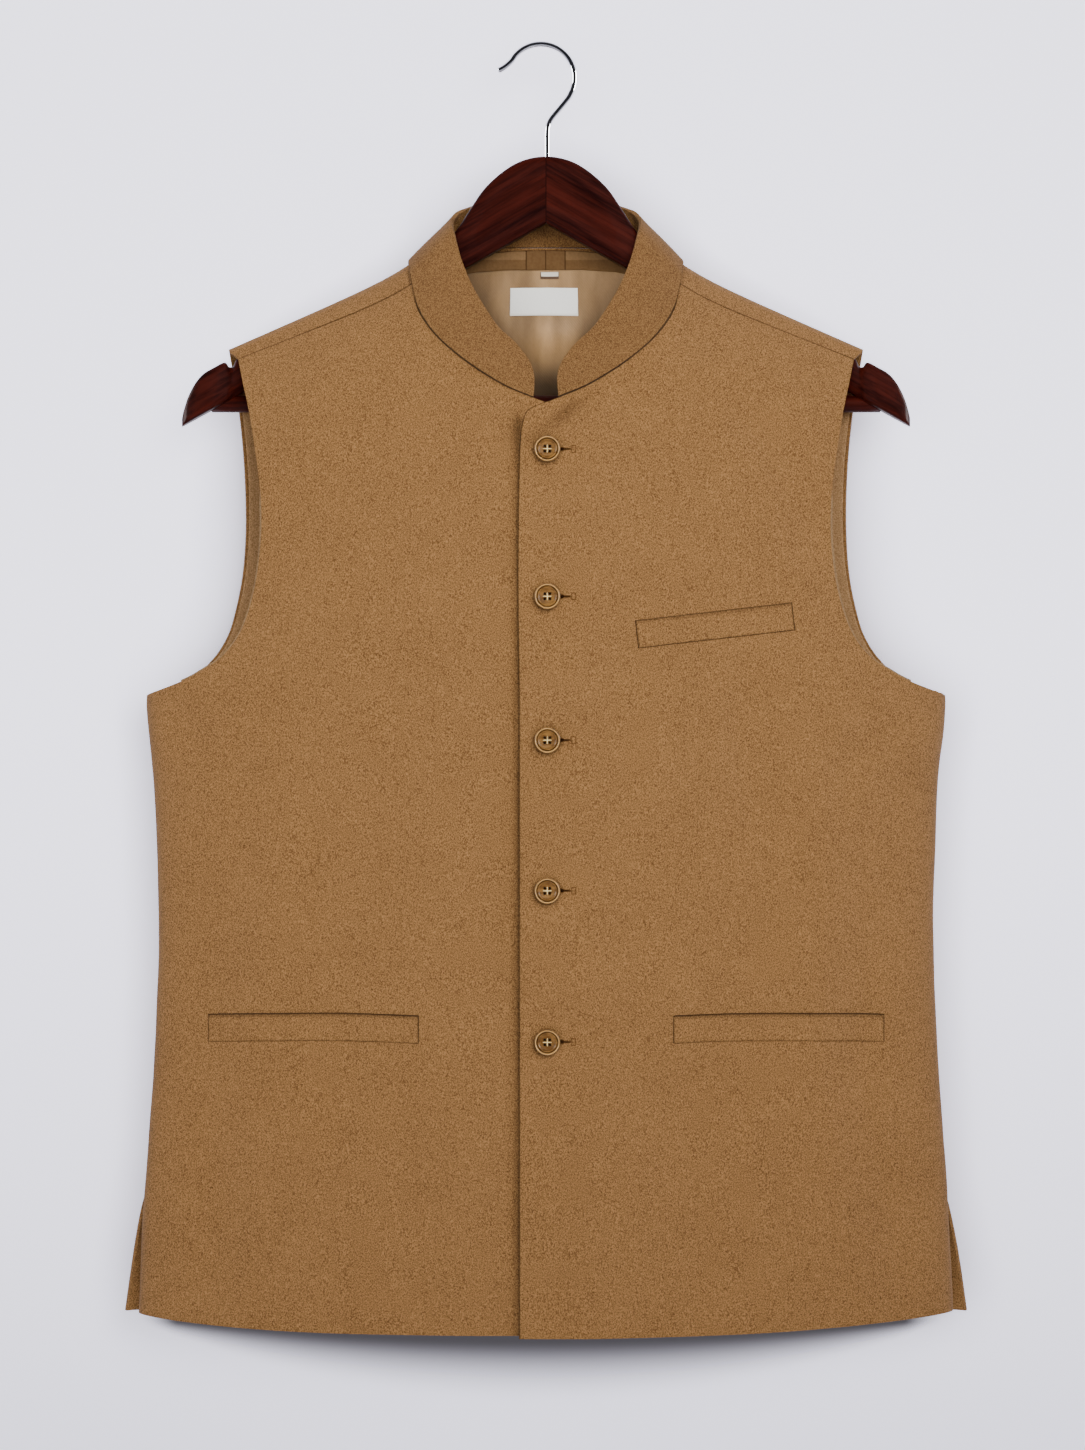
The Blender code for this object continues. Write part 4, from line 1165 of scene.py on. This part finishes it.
def buttonhole(number, z):
    """A keyhole: a round eye by the button's rim and a slit, edged by a worked cord, then a bar tack.

    The opening is not cut: a near-black sheet laid just on the cloth paints its shade.
    """
    turn = around(60)
    s = 0.5 - 0.5 * np.cos(turn)
    eye = np.where(s < 0.45, 0.95 * np.sqrt(np.clip(1 - ((s - 0.22) / 0.24) ** 2, 0, 1)), 0)
    half = np.maximum(eye, 0.28 * np.sqrt(np.clip(1 - s**6, 0, 1)))
    edge_x = EYE_X + SLIT_LENGTH * s
    edge_z = z + np.sign(np.sin(turn)) * half
    y = lap_y(edge_x, edge_z)
    share = np.linspace(0, 1, 5)[:, None]
    middle_z = z + (edge_z - z) * share
    # A dark sheet just in front of the cloth stands for the opening: painted shade.
    hole = np.dstack([edge_x + 0 * middle_z, y - 0.05 + 0 * middle_z, middle_z])
    cut = thicken(turned_shell(f"buttonhole_shade_sheet_{number}", BUTTONHOLE_PAINTED_SHADE, hole), 0.3, 0.0)
    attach(cut, "root")
    cord_x, cord_z = edge_x + 0.28 * np.cos(turn + math.pi), edge_z + 0.28 * np.sign(np.sin(turn))
    cord = np.stack([cord_x, y - 0.1, cord_z], axis=1)
    thread(f"buttonhole_cord_{number}", [cord], TAN_THREAD, CORD_RADIUS, closed=True)
    corner = np.clip(1.6 * np.stack([np.cos(turn), np.sin(turn)], axis=1), -1, 1)
    tack_x, tack_z = TACK_X + TACK_HALF[0] * corner[:, 0], z + TACK_HALF[1] * corner[:, 1]
    tack = np.stack([tack_x, lap_y(tack_x, tack_z) - 0.1, tack_z], axis=1)
    thread(f"bar_tack_{number}", [tack], TAN_THREAD, CORD_RADIUS, closed=True)


for number, z in enumerate(BUTTON_Z, 1):
    button(number, z)
    buttonhole(number, z)


# ---- The hanger: two steam-bent arms of mahogany-stained wood joined at the middle, a round trouser bar
# let into them, and a chromed wire hook screwed into the crown. All the wood is lacquered.

# An arm's sections: how far out each is, its top, half its thickness, and how far forward it is bent.
ARM = np.array((
    (0, 0, 6.5, 0), (11, -1.4, 6.5, 0), (20.6, -5.2, 6.5, 0), (30.4, -12, 6.5, 0),
    (40, -21.5, 6.5, 0), (48.8, -34.5, 6.4, 0), (54.6, -43.5, 6.2, 0), (62, -52.8, 6.2, 0),
    (72, -61.8, 6.2, 0), (85, -72.4, 6.4, 0.3), (110, -87, 6.6, 1), (146, -104, 6.8, 3),
    (176, -118.4, 6.6, 5.4), (194.5, -127.2, 6.4, 7), (198.6, -133.8, 6.6, 7.2),
    (201.4, -134.6, 7.2, 7.6), (204, -131.9, 7.6, 7.7), (211, -135.4, 8.2, 8),
    (217.3, -139.2, 8.2, 8.2), (222.6, -145.4, 7.6, 8.4), (227, -153.8, 6.2, 8.6),
    (229.6, -161.5, 4.6, 8.7), (231, -167, 2.8, 8.8),
), float)
HANGER_V_Z, HANGER_LOWER_SLOPE = -42.7, 0.562
BAR_RADIUS, BAR_HALF_LENGTH, BAR_Z, BAR_Y = 5.5, 213.0, -157.7, -4.6


def mahogany(name, chevron):
    """Lacquered wood: fine streaks along the grain, which slopes down both arms and meets at a joint line."""
    wood = Finish(name)
    here = wood.node("TexCoord", out="Object")
    x, y, z = (wood.part(here, axis) for axis in range(3))
    x = x - CROWN_TOP[0] / 1000
    slope = 0.52 if chevron else 0.0
    lie = abs(x) if chevron else x
    grain_along = lie * math.cos(slope) - z * math.sin(slope)
    grain_across = lie * math.sin(slope) + z * math.cos(slope)
    place = wood.node("CombineXYZ", (), {0: grain_along * 0.06, 1: y, 2: grain_across})
    shift = wood.node("CombineXYZ", (), {0: x.between(-0.0001, 0.0001) * 0.37 if chevron else 0.0})
    shifted = wood.node("VectorMath", {"operation": "ADD"}, {0: place, 1: shift})
    streaks = wood.noise(shifted, 520, 4.0, 0.6)
    figure = wood.noise(shifted, 110, 3.0, 0.55)
    pores = wood.noise(shifted, 2100)
    mix = streaks.between(0.32, 0.68) * 0.5 + figure.between(0.3, 0.7) * 0.5
    tone = wood.blend(mix, (0.0055, 0.0007, 0.0006), (0.040, 0.0052, 0.0026))
    if chevron:
        joint = (1.0 - abs(x).between(0.0001, 0.0005)) * 0.8
        tone = wood.blend(joint, tone, (0.004, 0.0006, 0.0005))
    return wood.surface(Base_Color=tone, Roughness=0.40, Specular_IOR_Level=0.04, Coat_Weight=0.09,
                        Coat_Roughness=0.10, Normal=wood.bump(pores * 0.5 + streaks * 0.5, 0.00008, 0.25))


def hanger_arms():
    """Sections |y/a|^n + |z/b|^n = 1 along both arms, square with rounded edges at the crown and tips."""
    both = np.concatenate([ARM[:0:-1] * (-1, 1, 1, 1), ARM])
    places = along(both, np.linspace(0, len(both) - 1, (len(both) - 1) * 7 + 1))
    x, top, half, lean = places.T
    inward = np.abs(x)
    bottom = HANGER_V_Z - HANGER_LOWER_SLOPE * inward
    square = 2.3 + 3.7 * np.maximum(1 - step((inward - 52) / 14), step((inward - 198) / 6))
    turn = (np.arange(48) + 0.5) * tau / 48
    power = (2 / square)[:, None]
    side = np.sign(np.cos(turn)) * np.abs(np.cos(turn)) ** power
    rise = np.sign(np.sin(turn)) * np.abs(np.sin(turn)) ** power
    y = side * half[:, None] - lean[:, None]
    z = ((top + bottom) / 2)[:, None] + rise * ((top - bottom) / 2)[:, None]
    grid = np.dstack([x[:, None] + 0 * y, y, z])
    caps = [np.broadcast_to(grid[i].mean(axis=0), grid[:1].shape) for i in (0, -1)]
    return np.concatenate([caps[0], grid, caps[1]])


arms = turned_shell("wooden_arms", mahogany("mahogany", chevron=True), hanger_arms())
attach(arms, "root")
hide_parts("hanger_body")

# The bar: a plain cylinder with softened ends.
inner_end = BAR_HALF_LENGTH - 0.6
bar_x = np.concatenate([[-BAR_HALF_LENGTH], np.linspace(-inner_end, inner_end, 60), [BAR_HALF_LENGTH]])
bar_radius = BAR_RADIUS * np.concatenate([[0.8], np.ones(60), [0.8]])
bar_path = np.stack([bar_x, BAR_Y + 0 * bar_x, BAR_Z + 0 * bar_x], axis=1)
bar_rings = tube(bar_path, bar_radius, 40)
bar = turned_shell("round_trouser_bar", mahogany("bar_mahogany", chevron=False), bar_rings)
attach(bar, "root")
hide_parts("trouser_bar")

WIRE_RADIUS, HOOK_CENTRE, HOOK_RADIUS = 1.87, (-3.3, 50.5), 21.5
HOOK_TIP = ((-30.9, 54.9), (-28.2, 56.2), (-25.2, 58.2))
HOOK_THROAT = (
    (16.1, 41.2), (14.2, 37.6), (11.2, 33.8), (8, 29.9), (4.8, 26.1), (2.4, 22.6), (1.1, 18.6), (0.7, 14),
    (0.7, 4), (0.7, -13.8),
)


def chrome():
    """Bright plate on steel wire, faintly mottled."""
    plate = Finish("chromed_wire")
    tone = plate.blend(plate.noise(plate.place(), 1500), (0.62, 0.63, 0.65), (0.80, 0.80, 0.82))
    return plate.surface(Base_Color=tone, Metallic=1.0, Roughness=0.10)


# The wire runs from its rounded tip over the crown's arc and down its throat into the wood.
arc = np.radians(np.linspace(150, -20, 18))
bend = zip(HOOK_CENTRE[0] + HOOK_RADIUS * np.cos(arc), HOOK_CENTRE[1] + HOOK_RADIUS * np.sin(arc))
wire = smooth_path((*HOOK_TIP, *bend, *HOOK_THROAT), 260)
rounded_tip = np.sqrt(1 - np.clip(1 - np.linspace(0, 1, 260) * 150, 0, 1) ** 2)
wire = np.stack([wire[:, 0], 0 * wire[:, 0], wire[:, 1]], axis=1)
hook = turned_shell("wire_hook", chrome(), tube(wire, WIRE_RADIUS * rounded_tip, 28))
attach(hook, "root")
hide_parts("hook")
